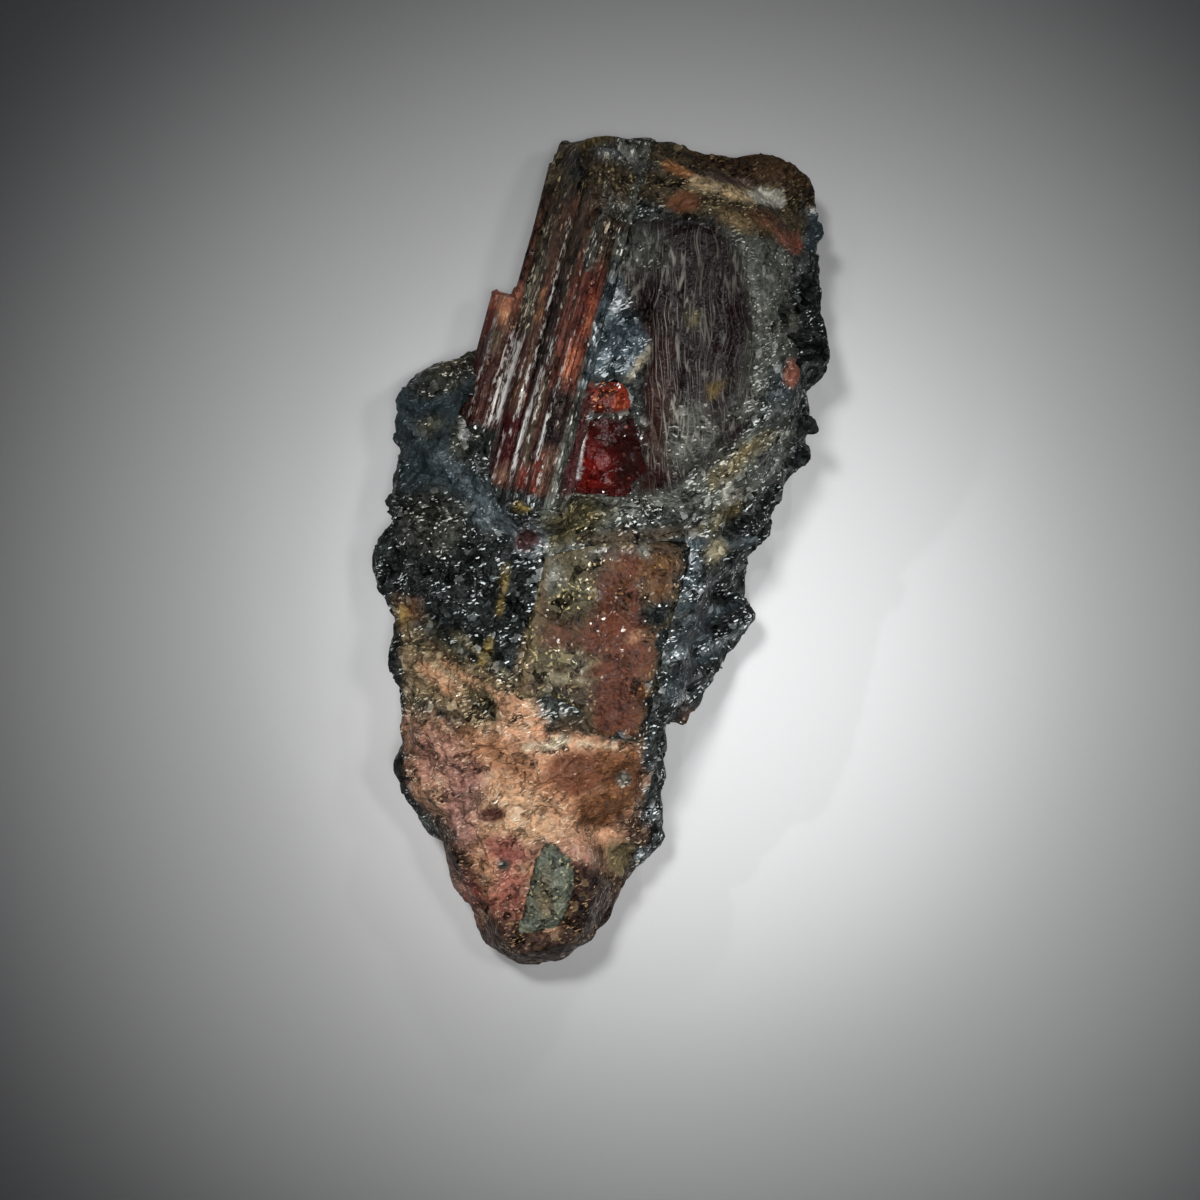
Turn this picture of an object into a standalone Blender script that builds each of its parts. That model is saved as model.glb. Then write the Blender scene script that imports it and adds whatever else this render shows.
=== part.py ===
"""A rhodonite specimen: dark galena rock with wine-red rhodonite crystals set in its upper half.

The stone lies on its broken back. +Y runs along it, from the narrow granular tip to the broken top,
+X to its right, and +Z is up, out of the face that the crystals show in. The origin is on the
underside, below the middle of the outline. Run with blender --background --python part.py.
"""

import math
import random

import bmesh
import bpy
import numpy as np
from mathutils import Euler, Matrix, Vector

MM = 0.001

# Driving dimensions, in millimetres.
RIDGE_HEIGHT = 32.5  # the striated crystal's ridge, above the flat back
FRONT_HEIGHT = 27.0  # most of the front face
GAP = 0.3  # between a crystal and the pocket it sits in
BLADE_LEAN = math.radians(15.0)  # the big crystal leans this far to the right of +Y
BLADE_FOOT = Vector((0.0, 22.0, 0.0))  # the point that the crystal's own measures start from
OPEN_ABOVE = 45.0  # pockets are cut open up to this height

# The outline of the rock seen from above, anticlockwise from the right of the broken top.
ROCK_OUTLINE = [
    (23.1, 40.4), (22.0, 41.4), (19.6, 42.9), (16.4, 43.5), (12.9, 43.3), (7.0, 44.2), (3.1, 44.5),
    (0.1, 45.0), (-3.4, 43.8), (-6.4, 38.0), (-8.4, 31.0), (-10.0, 26.4), (-11.8, 23.2),
    (-13.7, 21.0), (-14.4, 21.9), (-16.9, 21.0), (-18.9, 20.5), (-19.9, 19.7), (-21.8, 18.5),
    (-21.4, 15.9), (-22.6, 13.4), (-23.1, 10.6), (-22.9, 7.4), (-24.0, 4.6), (-23.8, 1.6),
    (-25.0, 0.0), (-24.6, -2.3), (-23.4, -7.1), (-23.7, -10.8), (-23.4, -14.4), (-22.5, -17.6),
    (-23.0, -21.6), (-22.6, -24.8), (-21.0, -28.4), (-19.2, -29.7), (-17.7, -32.5),
    (-15.2, -37.9), (-14.6, -40.9), (-12.8, -43.0), (-8.6, -45.1), (-4.6, -45.8), (-1.0, -44.2),
    (0.8, -41.2), (2.5, -37.1), (3.5, -34.6), (6.4, -32.5), (7.6, -28.8), (7.0, -24.2),
    (7.3, -21.0), (10.9, -19.4), (11.0, -17.0), (13.1, -14.4), (14.9, -10.6), (16.9, -7.5),
    (16.7, -3.2), (17.0, -1.0), (20.4, 2.4), (21.2, 4.1), (21.0, 7.4), (23.3, 10.4),
    (24.6, 13.9), (24.5, 17.4), (25.0, 24.4), (24.2, 29.6), (25.0, 34.5), (23.6, 37.2),
]
ROCK_MIDDLE = (0.0, 1.0)  # every outline point is in plain sight of this one
ROCK_SEGMENTS = 260
ROCK_RINGS = 96
FRONT_ROUNDING = 3.6  # superellipse exponent of the sides: 2 is an ellipse, more is boxier
BACK_ROUNDING = 3.0
BACK_BULGE = 2.6  # how far the back would reach below the plane that it is broken off at
ROCK_VOXEL = 0.8
ROCK_TRIANGLES = 7400
RIM_HEIGHT = 12.0  # where the rock is widest
CRYSTAL_RISE = 3.4  # the front face round the crystals, above FRONT_HEIGHT
SHOULDER_DROP = 5.0  # these lie below FRONT_HEIGHT
FLANK_DROP = 10.0
TIP_DROP = 7.0
STEP_DROP = 8.0


def clear_scene():
    for old in list(bpy.data.objects):
        bpy.data.objects.remove(old, do_unlink=True)


def new_collection(name, shown=True):
    made = bpy.data.collections.new(name)
    bpy.context.scene.collection.children.link(made)
    made.hide_render = not shown
    return made


def material(name, colour, roughness, metallic):
    made = bpy.data.materials.new(name)
    made.use_nodes = True
    shader = made.node_tree.nodes["Principled BSDF"]
    shader.inputs["Base Color"].default_value = (*colour, 1.0)
    shader.inputs["Roughness"].default_value = roughness
    shader.inputs["Metallic"].default_value = metallic
    return made


def ease(start, end, value):
    """0 at start, 1 at end, with a smooth turn at both."""
    share = np.clip((value - start) / (end - start), 0.0, 1.0)
    return share * share * (3.0 - 2.0 * share)


# ---------------------------------------------------------------- the rock's own surface


def outline_radius(angles):
    """Distance from ROCK_MIDDLE to the outline in each direction."""
    points = np.array(ROCK_OUTLINE) - ROCK_MIDDLE
    found = np.arctan2(points[:, 1], points[:, 0])
    order = np.argsort(found)
    return np.interp(
        angles, found[order], np.hypot(*points.T)[order], period=2.0 * math.pi
    )


def rim_height(y, angles):
    """Height at which the rock is widest. It wanders, and is highest at the broken top."""
    height = RIM_HEIGHT + 6.0 * ease(26.0, 42.0, y) - 2.5 * ease(-20.0, -42.0, y)
    return height + 2.2 * np.sin(3.0 * angles + 0.6) + 1.4 * np.sin(7.0 * angles + 2.0)


def front_height(x, y):
    """Height of the front face, before it rounds over into the sides."""
    height = FRONT_HEIGHT + CRYSTAL_RISE * ease(3.0, 12.0, y) * ease(-13.0, -8.0, x)
    height -= SHOULDER_DROP * ease(-10.5, -15.5, x) * ease(2.0, 10.0, y)  # on the left
    height -= FLANK_DROP * ease(17.0, 26.0, x) * ease(-4.0, 8.0, y)  # on the right
    height -= TIP_DROP * ease(-10.0, -44.0, y)
    face_edge = 10.4 + 0.22 * y  # where the brown and granular face stops, low on the right
    height -= STEP_DROP * ease(0.0, 6.0, x - face_edge) * ease(5.0, -3.0, y)
    return height


def rock_skin():
    """A sphere with its equator drawn out to the outline and its two halves to front and back."""
    body = bmesh.new()
    bmesh.ops.create_uvsphere(body, u_segments=ROCK_SEGMENTS, v_segments=ROCK_RINGS, radius=1.0)
    unit = np.array([vertex.co for vertex in body.verts])
    angles = np.arctan2(unit[:, 1], unit[:, 0])
    latitude = np.arcsin(np.clip(unit[:, 2], -1.0, 1.0))
    power = 2.0 / FRONT_ROUNDING
    reach = outline_radius(angles) * np.cos(latitude).clip(0.0) ** power
    x = ROCK_MIDDLE[0] + reach * np.cos(angles)
    y = ROCK_MIDDLE[1] + reach * np.sin(angles)
    rise = np.abs(np.sin(latitude)) ** power
    rim = rim_height(y, angles)
    below = (rim + BACK_BULGE) * np.abs(np.sin(latitude)) ** (2.0 / BACK_ROUNDING)
    z = np.where(latitude > 0.0, rim + rise * (front_height(x, y) - rim), rim - below)
    for vertex, place in zip(body.verts, np.stack([x, y, z], axis=1)):
        vertex.co = Vector(place) * MM
    return body


def knock_flat(points, middle, facing, reach, deepest):
    """Takes the skin back to a plane, out to reach from its middle."""
    out = np.array(Vector(facing).normalized())
    from_middle = points - np.array(middle)
    past = from_middle @ out
    aside = np.linalg.norm(from_middle - past[:, None] * out, axis=1)
    knocked = (past > 0.0) & (past < deepest) & (aside < reach)
    points[knocked] -= past[knocked, None] * out


def cleavage_facing(middle, normal, grains):
    """The cleavage direction of the nearest galena grain that lies closest to the surface."""
    turn = min(grains, key=lambda grain: (grain[0] - middle).length)[1]
    axes = [axis * sign for axis in turn.to_matrix() for sign in (1.0, -1.0)]
    return max(axes, key=lambda axis: axis.dot(normal))


def evaluated_mesh(thing, name):
    """The object's mesh with its modifiers applied, in world space."""
    graph = bpy.context.evaluated_depsgraph_get()
    made = bpy.data.meshes.new_from_object(thing.evaluated_get(graph))
    made.name = name
    made.transform(thing.matrix_world)
    return made


def as_object(body, name, home):
    mesh = bpy.data.meshes.new(name)
    body.to_mesh(mesh)
    body.free()
    made = bpy.data.objects.new(name, mesh)
    home.objects.link(made)
    return made


def replace_mesh(thing, mesh):
    old = thing.data
    thing.modifiers.clear()
    thing.matrix_world = Matrix.Identity(4)
    thing.data = mesh
    bpy.data.meshes.remove(old)


def apply_modifiers(thing):
    bpy.context.view_layer.update()
    replace_mesh(thing, evaluated_mesh(thing, thing.name))


def cut_flat(thing, point, normal):
    """Breaks off what lies past a plane and closes the cut with one flat face."""
    body = bmesh.new()
    body.from_mesh(thing.data)
    bmesh.ops.bisect_plane(
        body,
        geom=body.verts[:] + body.edges[:] + body.faces[:],
        dist=1e-6,
        plane_co=Vector(point) * MM,
        plane_no=Vector(normal),
        clear_outer=True,
    )
    open_edges = [edge for edge in body.edges if edge.is_boundary]
    bmesh.ops.holes_fill(body, edges=open_edges, sides=0)
    bmesh.ops.recalc_face_normals(body, faces=body.faces[:])
    body.to_mesh(thing.data)
    body.free()


def drop_crumbs(thing):
    """Leaves the largest piece, without the crumbs that a cut can break off."""
    body = bmesh.new()
    body.from_mesh(thing.data)
    loose = set(body.verts)
    pieces = []
    while loose:
        piece, edge = set(), [loose.pop()]
        while edge:
            vertex = edge.pop()
            piece.add(vertex)
            for link in vertex.link_edges:
                other = link.other_vert(vertex)
                if other in loose:
                    loose.remove(other)
                    edge.append(other)
        pieces.append(piece)
    pieces.sort(key=len)
    crumbs = [vertex for piece in pieces[:-1] for vertex in piece]
    bmesh.ops.delete(body, geom=crumbs, context="VERTS")
    body.to_mesh(thing.data)
    body.free()


def remesh(thing, voxel):
    modifier = thing.modifiers.new("even_skin", "REMESH")
    modifier.mode = "VOXEL"
    modifier.voxel_size = voxel * MM
    apply_modifiers(thing)


def decimate(thing, triangles):
    thing.data.calc_loop_triangles()
    modifier = thing.modifiers.new("fewer_faces", "DECIMATE")
    modifier.ratio = min(1.0, triangles / len(thing.data.loop_triangles))
    modifier.use_collapse_triangulate = True
    apply_modifiers(thing)


# The front of the broken top slopes back and away to the right.
TOP_BREAK = ((-2.7, 38.9, 31.0), (0.274, 0.758, 0.592))
BACK = ((0.0, 0.0, 0.0), (0.0, 0.0, -1.0))

# Flat scars that large chips left: a point of the plane, the way it faces and how far it reaches.
ROCK_SCARS = [
    ((21.0, 22.0, 25.0), (0.72, 0.05, 0.69), 13.0),  # right flank beside the lined crystal
    ((21.6, 30.0, 6.0), (0.78, 0.10, -0.62), 14.0),  # undercut on the right
    ((13.6, -9.0, 20.4), (0.62, -0.22, 0.75), 9.0),  # big black face, low right
    ((8.6, -24.0, 17.0), (0.80, -0.10, 0.60), 7.0),  # black strip beside the granular face
    ((-21.6, -8.0, 22.0), (-0.82, 0.05, 0.57), 10.0),  # left edge of the granular face
    ((-21.6, 6.0, 5.0), (-0.72, 0.05, -0.69), 14.0),  # undercut on the left
    ((-18.6, 15.0, 21.0), (-0.34, 0.26, 0.90), 6.5),  # blue-grey plate on the left shoulder
    ((-16.4, 6.0, 23.6), (-0.24, 0.10, 0.97), 6.0),  # plate below it
    ((-18.0, -30.0, 6.0), (-0.66, -0.42, -0.62), 13.0),  # underside, left of the tip
    ((-3.0, -42.0, 6.0), (0.10, -0.86, -0.50), 9.0),  # back of the tip
    ((-7.0, -42.0, 15.6), (-0.12, -0.78, 0.62), 7.0),  # front of the tip
    ((12.0, -20.0, 6.0), (0.74, -0.34, -0.58), 13.0),  # underside, low right
    ((16.0, 43.0, 12.0), (0.30, 0.90, -0.30), 10.0),  # top, below the break
    ((2.0, 43.4, 10.0), (-0.20, 0.86, -0.46), 10.0),
]

# Blocks that stand out of the skin where the galena split along its cleavage: middle, size and
# turn in degrees about X, Y and Z.
ROCK_LEDGES = [
    ((11.6, -9.8, 19.6), (9.6, 2.2, 5.0), (0.0, 34.0, 22.0)),
    ((11.0, -6.6, 21.2), (8.4, 2.4, 4.0), (0.0, 38.0, 14.0)),
    ((9.6, -13.6, 19.4), (7.0, 2.0, 4.4), (0.0, 36.0, 30.0)),
    ((8.6, -18.2, 15.6), (4.6, 3.0, 6.0), (0.0, 20.0, 4.0)),
    ((14.4, 0.4, 22.2), (9.0, 3.0, 5.0), (8.0, 40.0, 30.0)),
    ((-16.8, 19.0, 18.0), (4.8, 3.6, 5.4), (10.0, -12.0, 24.0)),
    ((-20.8, 16.6, 15.8), (2.6, 4.4, 6.0), (0.0, -16.0, 10.0)),
    ((-14.4, 7.6, 23.4), (9.6, 4.0, 3.2), (8.0, -14.0, -18.0)),
    ((-22.6, 1.0, 14.2), (3.4, 3.4, 5.0), (0.0, 10.0, 30.0)),
    ((21.4, 12.6, 17.4), (5.0, 4.4, 7.0), (0.0, 24.0, -20.0)),
    ((5.4, -30.6, 14.0), (4.0, 4.0, 6.0), (0.0, 20.0, 24.0)),
]


def add_ledges(body):
    for middle, size, turn in ROCK_LEDGES:
        place = Matrix.LocRotScale(
            Vector(middle) * MM, Euler([math.radians(angle) for angle in turn]), Vector(size) * MM
        )
        bmesh.ops.create_cube(body, size=1.0, matrix=place)


# Smaller chips all over: how many, how far they reach, how deep they go and how they tilt.
CHIPS = [
    dict(count=190, reach=(3.0, 7.5), depth=(0.2, 1.1), tilt=0.14, seed=21),
    dict(count=560, reach=(1.6, 3.2), depth=(0.1, 0.5), tilt=0.24, seed=22),
]
DEEPEST_CHIP = 1.8
LOWEST_CHIP = 2.0  # the middle of a chip stays this far above the flat back
GALENA_GRAINS = 26
CLEAVED_SHARE = 0.6  # of the chips, those that follow a cleavage direction
CLOSE_TO_SKIN = 0.86  # a cleavage direction is used when it faces this nearly along the normal


def soften(thing, rounds):
    """Takes the spikes off the edges where chips meet."""
    body = bmesh.new()
    body.from_mesh(thing.data)
    for _ in range(rounds):
        bmesh.ops.smooth_vert(
            body, verts=body.verts, factor=0.5, use_axis_x=True, use_axis_y=True, use_axis_z=True
        )
    body.to_mesh(thing.data)
    body.free()


def cut_scars(rock):
    points = skin_points(rock)
    for middle, facing, reach in ROCK_SCARS:
        knock_flat(points, middle, facing, reach, deepest=9.0)
    move_skin(rock, points)


def chip_surface(rock):
    """Knocks flat chips off the skin, many of them along the galena's own cleavage."""
    points = skin_points(rock)
    normals = np.array([vertex.normal for vertex in rock.data.vertices])
    chance = random.Random(20)
    low, high = points.min(axis=0), points.max(axis=0)
    grains = []
    for _ in range(GALENA_GRAINS):
        middle = Vector([chance.uniform(a, b) for a, b in zip(low, high)])
        grains.append((middle, Euler([chance.uniform(0.0, math.pi) for _ in range(3)])))
    for chips in CHIPS:
        chance = random.Random(chips["seed"])
        for _ in range(chips["count"]):
            middle = points[chance.randrange(len(points))]
            reach = chance.uniform(*chips["reach"])
            near = np.linalg.norm(points - middle, axis=1) < reach
            normal = Vector(normals[near].mean(axis=0)).normalized()
            middle = Vector(middle) - normal * chance.uniform(*chips["depth"])
            facing = cleavage_facing(middle, normal, grains)
            cleaves = chance.random() < CLEAVED_SHARE and facing.dot(normal) > CLOSE_TO_SKIN
            if not cleaves:
                facing = normal + Vector([chance.gauss(0.0, chips["tilt"]) for _ in range(3)])
            if middle.z > LOWEST_CHIP:
                knock_flat(points, middle, facing, reach, DEEPEST_CHIP)
    move_skin(rock, points)


def skin_points(thing):
    return np.array([vertex.co for vertex in thing.data.vertices]) / MM


def move_skin(thing, points):
    thing.data.vertices.foreach_set("co", (points * MM).astype(np.float32).ravel())
    thing.data.update()


def make_rock(home):
    body = rock_skin()
    add_ledges(body)
    rock = as_object(body, "galena_matrix", home)
    remesh(rock, ROCK_VOXEL)
    cut_scars(rock)
    cut_flat(rock, *TOP_BREAK)
    remesh(rock, ROCK_VOXEL)
    chip_surface(rock)
    soften(rock, rounds=2)
    remesh(rock, ROCK_VOXEL)
    decimate(rock, ROCK_TRIANGLES)
    cut_flat(rock, *BACK)
    drop_crumbs(rock)
    return rock


# ---------------------------------------------------------------- crystals and their pockets


def prism(name, outline, low, high, home):
    """A flat outline drawn as a 2D curve and extruded along its own Z, from low to high."""
    curve = bpy.data.curves.new(name, "CURVE")
    curve.dimensions = "2D"
    curve.fill_mode = "BOTH"
    curve.extrude = (high - low) / 2.0 * MM
    spline = curve.splines.new("POLY")
    spline.points.add(len(outline) - 1)
    for point, (x, y) in zip(spline.points, outline):
        point.co = (x * MM, y * MM, 0.0, 1.0)
    spline.use_cyclic_u = True
    drawn = bpy.data.objects.new(name + "_outline", curve)
    home.objects.link(drawn)
    drawn.location.z = (high + low) / 2.0 * MM
    bpy.context.view_layer.update()
    mesh = evaluated_mesh(drawn, name)
    bpy.data.objects.remove(drawn, do_unlink=True)
    body = bmesh.new()
    body.from_mesh(mesh)
    bpy.data.meshes.remove(mesh)
    bmesh.ops.remove_doubles(body, verts=body.verts[:], dist=1e-6)
    bmesh.ops.recalc_face_normals(body, faces=body.faces[:])
    return as_object(body, name, home)


def grown(outline, by):
    """The outline with each side moved out by the same distance. It runs anticlockwise."""
    made = []
    count = len(outline)
    for index, here in enumerate(outline):
        before, after = outline[index - 1], outline[(index + 1) % count]
        arriving = (Vector(here) - Vector(before)).normalized()
        leaving = (Vector(after) - Vector(here)).normalized()
        out_before = Vector((arriving.y, -arriving.x))
        out_after = Vector((leaving.y, -leaving.x))
        miter = (out_before + out_after) / (1.0 + out_before.dot(out_after))
        made.append(tuple(Vector(here) + miter * by))
    return made


def cut_pocket(rock, name, outline, floor, cutters):
    """Opens the rock for a crystal, from its floor right up through the front face."""
    cutter = prism(name + "_pocket", grown(outline, GAP), floor - GAP, OPEN_ABOVE, cutters)
    cutter.hide_render = True
    cutter.display_type = "WIRE"
    modifier = rock.modifiers.new(name + "_pocket", "BOOLEAN")
    modifier.object = cutter
    modifier.operation = "DIFFERENCE"


def join_solids(thing, *others):
    """One solid from shapes that overlap."""
    for other in others:
        modifier = thing.modifiers.new(other.name, "BOOLEAN")
        modifier.object = other
        modifier.operation = "UNION"
    apply_modifiers(thing)
    for other in others:
        bpy.data.objects.remove(other, do_unlink=True)


ALONG_BLADE = Vector((math.sin(BLADE_LEAN), math.cos(BLADE_LEAN), 0.0))
ACROSS_BLADE = Vector((math.cos(BLADE_LEAN), -math.sin(BLADE_LEAN), 0.0))


def lean(thing):
    """Turns a prism drawn across the big crystal, as (offset, height), to run along it."""
    turn = Matrix((ACROSS_BLADE, Vector((0.0, 0.0, 1.0)), -ALONG_BLADE)).transposed().to_4x4()
    thing.matrix_world = Matrix.Translation(BLADE_FOOT * MM) @ turn
    apply_modifiers(thing)


# The striated crystal, cut across: offset to the right, height. Its left side climbs in blades.
BLADE_FLOOR = 11.0
BLADE_SECTION = [
    (-9.8, BLADE_FLOOR), (-0.2, BLADE_FLOOR), (-0.2, 30.2), (-2.4, RIDGE_HEIGHT), (-3.2, 31.4),
    (-3.4, 29.8), (-4.6, 29.0), (-5.4, 27.4), (-5.6, 25.9), (-6.8, 25.2), (-7.8, 23.2),
    (-8.0, 21.9), (-9.4, 19.4), (-9.8, 17.6),
]
SIDE_BLADE_SECTION = [
    (-12.5, 11.8), (-9.3, 11.8), (-9.3, 18.6), (-10.1, 20.2), (-11.2, 20.0), (-12.5, 17.2),
]
SIDE_BLADE_REACH = (-12.0, 7.0)  # along the crystal, from its foot
BLADE_REACH = (-18.4, 28.0)
# The pocket for both, in offsets across and along the big crystal. It is open to the left where
# the crystal itself is the edge of the specimen.
BLADE_POCKET = [
    (-6.6, -18.4), (-0.2, -18.4), (-0.2, 28.0), (-16.0, 28.0), (-16.0, 2.0), (-12.5, 2.0),
    (-12.5, -12.0), (-9.8, -12.0),
]


def make_blade_crystal(home):
    """The big leaning prism, its side blade, and the broken ends that they share with the rock."""
    low, high = BLADE_REACH
    crystal = prism("striated_crystal", BLADE_SECTION, -high, -low, home)
    lean(crystal)
    cut_flat(crystal, (-11.4, 8.5, 0.0), (-0.98, -0.19, 0.0))
    low, high = SIDE_BLADE_REACH
    side = prism("side_blade", SIDE_BLADE_SECTION, -high, -low, home)
    lean(side)
    cut_flat(side, (-10.5, 28.0, 18.0), (0.05, 0.97, 0.24))
    join_solids(crystal, side)
    cut_flat(crystal, *TOP_BREAK)
    cut_flat(crystal, (0.0, 43.8, 18.0), (-0.06, 0.99, 0.10))
    cut_flat(crystal, (-4.3, 41.0, 18.0), (-0.86, 0.45, 0.24))
    return crystal


# The crystal whose face is drawn over with fine lines, seen from above.
LINED_OUTLINE = [
    (8.6, 7.6), (12.4, 11.4), (15.2, 16.2), (16.0, 22.4), (15.8, 28.0), (14.2, 32.6), (10.2, 34.6),
    (6.8, 33.2), (5.8, 27.6), (5.8, 20.4), (4.9, 16.6), (6.8, 10.6),
]
LINED_FLOOR = 14.0
LINED_TOP = 31.2


def make_lined_crystal(home):
    crystal = prism("lined_crystal", LINED_OUTLINE, LINED_FLOOR, LINED_TOP, home)
    for point, normal in [
        ((13.6, 24.0, 30.9), (0.26, 0.02, 0.96)),
        ((11.0, 13.0, 30.9), (0.18, -0.16, 0.97)),
        ((9.0, 30.6, 30.9), (0.04, 0.20, 0.98)),
        ((7.4, 22.0, 30.9), (-0.16, 0.0, 0.99)),
    ]:
        cut_flat(crystal, point, normal)
    return crystal


RED_OUTLINE = [
    (-2.5, 6.6), (2.6, 6.2), (4.6, 8.6), (4.2, 11.4), (2.6, 16.6), (2.3, 17.4), (0.4, 17.6),
    (-0.4, 14.6), (-1.8, 10.0),
]
RED_FLOOR = 20.0
RED_TOP = 31.4


def make_red_crystal(home):
    crystal = prism("red_crystal", RED_OUTLINE, RED_FLOOR, RED_TOP, home)
    for point, normal in [
        ((2.0, 15.6, 31.0), (0.05, 0.30, 0.95)),
        ((4.0, 11.0, 30.2), (0.42, 0.05, 0.90)),
        ((1.0, 7.2, 29.8), (0.04, -0.40, 0.91)),
        ((-2.2, 11.0, 30.4), (-0.52, 0.10, 0.84)),
    ]:
        cut_flat(crystal, point, normal)
    return crystal


BROWN_OUTLINE = [
    (-1.0, -19.4), (4.4, -20.2), (6.6, -10.6), (8.6, -3.4), (9.6, 0.6), (2.0, 1.0), (-5.6, -0.6),
    (-7.6, -9.0), (-8.8, -15.6), (-5.0, -15.2), (-1.8, -16.8),
]
BROWN_FLOOR = 18.0
BROWN_TOP = 29.0


def make_brown_crystal(home):
    crystal = prism("brown_crystal", BROWN_OUTLINE, BROWN_FLOOR, BROWN_TOP, home)
    for point, normal in [
        ((0.0, -4.0, 26.6), (0.02, -0.05, 1.0)),
        ((6.0, -8.0, 26.2), (0.20, 0.0, 0.98)),
        ((0.0, -16.0, 25.6), (0.0, -0.20, 0.98)),
        ((-6.6, -8.0, 26.0), (-0.16, 0.02, 0.98)),
    ]:
        cut_flat(crystal, point, normal)
    return crystal


WEDGE_OUTLINE = [
    (-8.6, -40.8), (-4.6, -40.2), (-3.0, -36.2), (-3.4, -33.0), (-5.6, -31.4), (-7.0, -34.4),
]
WEDGE_FLOOR = 13.0
WEDGE_TOP = 24.0


def make_green_wedge(home):
    crystal = prism("green_wedge", WEDGE_OUTLINE, WEDGE_FLOOR, WEDGE_TOP, home)
    for point, normal in [
        ((-5.6, -36.0, 20.7), (0.10, -0.34, 0.94)),
        ((-7.0, -36.0, 20.5), (-0.30, -0.24, 0.92)),
        ((-6.0, -40.4, 18.4), (0.0, -0.66, 0.75)),
    ]:
        cut_flat(crystal, point, normal)
    return crystal


def main():
    clear_scene()
    specimen = new_collection("rhodonite_specimen")
    cutters = new_collection("cutters", shown=False)
    galena = material("galena", (0.06, 0.07, 0.08), 0.45, 0.6)
    wine = material("rhodonite_wine", (0.16, 0.03, 0.03), 0.25, 0.0)
    plum = material("rhodonite_plum", (0.05, 0.02, 0.025), 0.35, 0.0)
    red = material("rhodonite_red", (0.30, 0.01, 0.01), 0.15, 0.0)
    brown = material("rhodonite_brown", (0.22, 0.08, 0.05), 0.5, 0.0)
    green = material("grey_green", (0.10, 0.12, 0.09), 0.5, 0.0)

    rock = make_rock(specimen)
    rock.data.materials.append(galena)
    blade_pocket = [
        tuple((BLADE_FOOT + ACROSS_BLADE * offset + ALONG_BLADE * along).xy)
        for offset, along in BLADE_POCKET
    ]
    crystals = [
        (make_blade_crystal(specimen), wine, blade_pocket, BLADE_FLOOR),
        (make_lined_crystal(specimen), plum, LINED_OUTLINE, LINED_FLOOR),
        (make_red_crystal(specimen), red, RED_OUTLINE, RED_FLOOR),
        (make_brown_crystal(specimen), brown, BROWN_OUTLINE, BROWN_FLOOR),
        (make_green_wedge(specimen), green, WEDGE_OUTLINE, WEDGE_FLOOR),
    ]
    for crystal, finish, outline, floor in crystals:
        crystal.data.materials.append(finish)
        cut_pocket(rock, crystal.name, outline, floor, cutters)


main()
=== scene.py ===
import itertools
import math

import bmesh
import bpy
import numpy as np
from mathutils import Euler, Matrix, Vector, kdtree


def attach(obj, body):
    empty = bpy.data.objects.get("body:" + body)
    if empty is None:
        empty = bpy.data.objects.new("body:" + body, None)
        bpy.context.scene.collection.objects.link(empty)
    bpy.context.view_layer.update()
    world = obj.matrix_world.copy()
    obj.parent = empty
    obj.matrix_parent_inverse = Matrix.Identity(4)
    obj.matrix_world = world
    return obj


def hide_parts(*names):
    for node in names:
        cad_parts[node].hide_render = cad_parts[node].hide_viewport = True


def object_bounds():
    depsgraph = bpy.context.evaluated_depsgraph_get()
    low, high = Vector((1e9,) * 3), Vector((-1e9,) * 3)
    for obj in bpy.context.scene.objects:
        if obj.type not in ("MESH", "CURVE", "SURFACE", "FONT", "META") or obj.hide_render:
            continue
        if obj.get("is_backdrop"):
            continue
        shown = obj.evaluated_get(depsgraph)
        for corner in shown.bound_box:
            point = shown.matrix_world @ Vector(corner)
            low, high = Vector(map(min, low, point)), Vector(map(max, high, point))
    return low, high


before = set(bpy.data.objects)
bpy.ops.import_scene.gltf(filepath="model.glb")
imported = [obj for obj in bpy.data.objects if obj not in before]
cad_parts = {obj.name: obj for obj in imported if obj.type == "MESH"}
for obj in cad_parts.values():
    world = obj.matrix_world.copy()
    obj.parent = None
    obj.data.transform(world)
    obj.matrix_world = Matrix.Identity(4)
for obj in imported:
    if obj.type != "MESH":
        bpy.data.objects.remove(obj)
cad_low, cad_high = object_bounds()
MM = 0.001


# ---------------------------------------------------------------------------------------------------
# The striated crystal: wine-red rhodonite blades side by side, glassy, grooved all along by growth.
# Their left edges are dusted with galena. The glints along the grooves are painted white, and the orange
# of light coming through the right ones is painted into their colour.

COLUMNS = {"grit": 6, "sparkle": 7, "metal": 8, "rough": 9}  # where a finish holds its plain values
EDGE_WAVE = 2.4  # mm, the bends in the edge of a patch of colour
EDGE_FRAY = 0.7  # mm, the finer ones
# Every outline is a list of corners seen from above, in mm. This one holds the weathered top.
TOP_OUTLINE = [(-6, 38.4), (-6, 46), (26, 46), (26, 38.6), (22.4, 36.6), (21.5, 32.0), (18.5, 33.0),
               (12.7, 34.6), (10, 35.8), (6.6, 36.2), (4.8, 37.4), (0, 38.8)]
BLADE_LEAN = math.radians(15)  # how far the blades lean from +Y to +X
BLADE_FOOT = np.array((0.0, 22.0))  # where across and along the blades are measured from (mm)
BREAK_SPOT = (-2.7, 38.9, 31.0)  # a spot on the slanting break that ends the blades (mm)
BREAK_FACING = np.array((0.274, 0.758, 0.592))  # the way that the break faces
SMALL_BLADE_END = 2.7  # how far up the small blade on the left ends (mm)
STRIPE = 0.34  # mm, how wide the stripes of the blades are
FINE_STRIPE = 0.16  # mm


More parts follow.
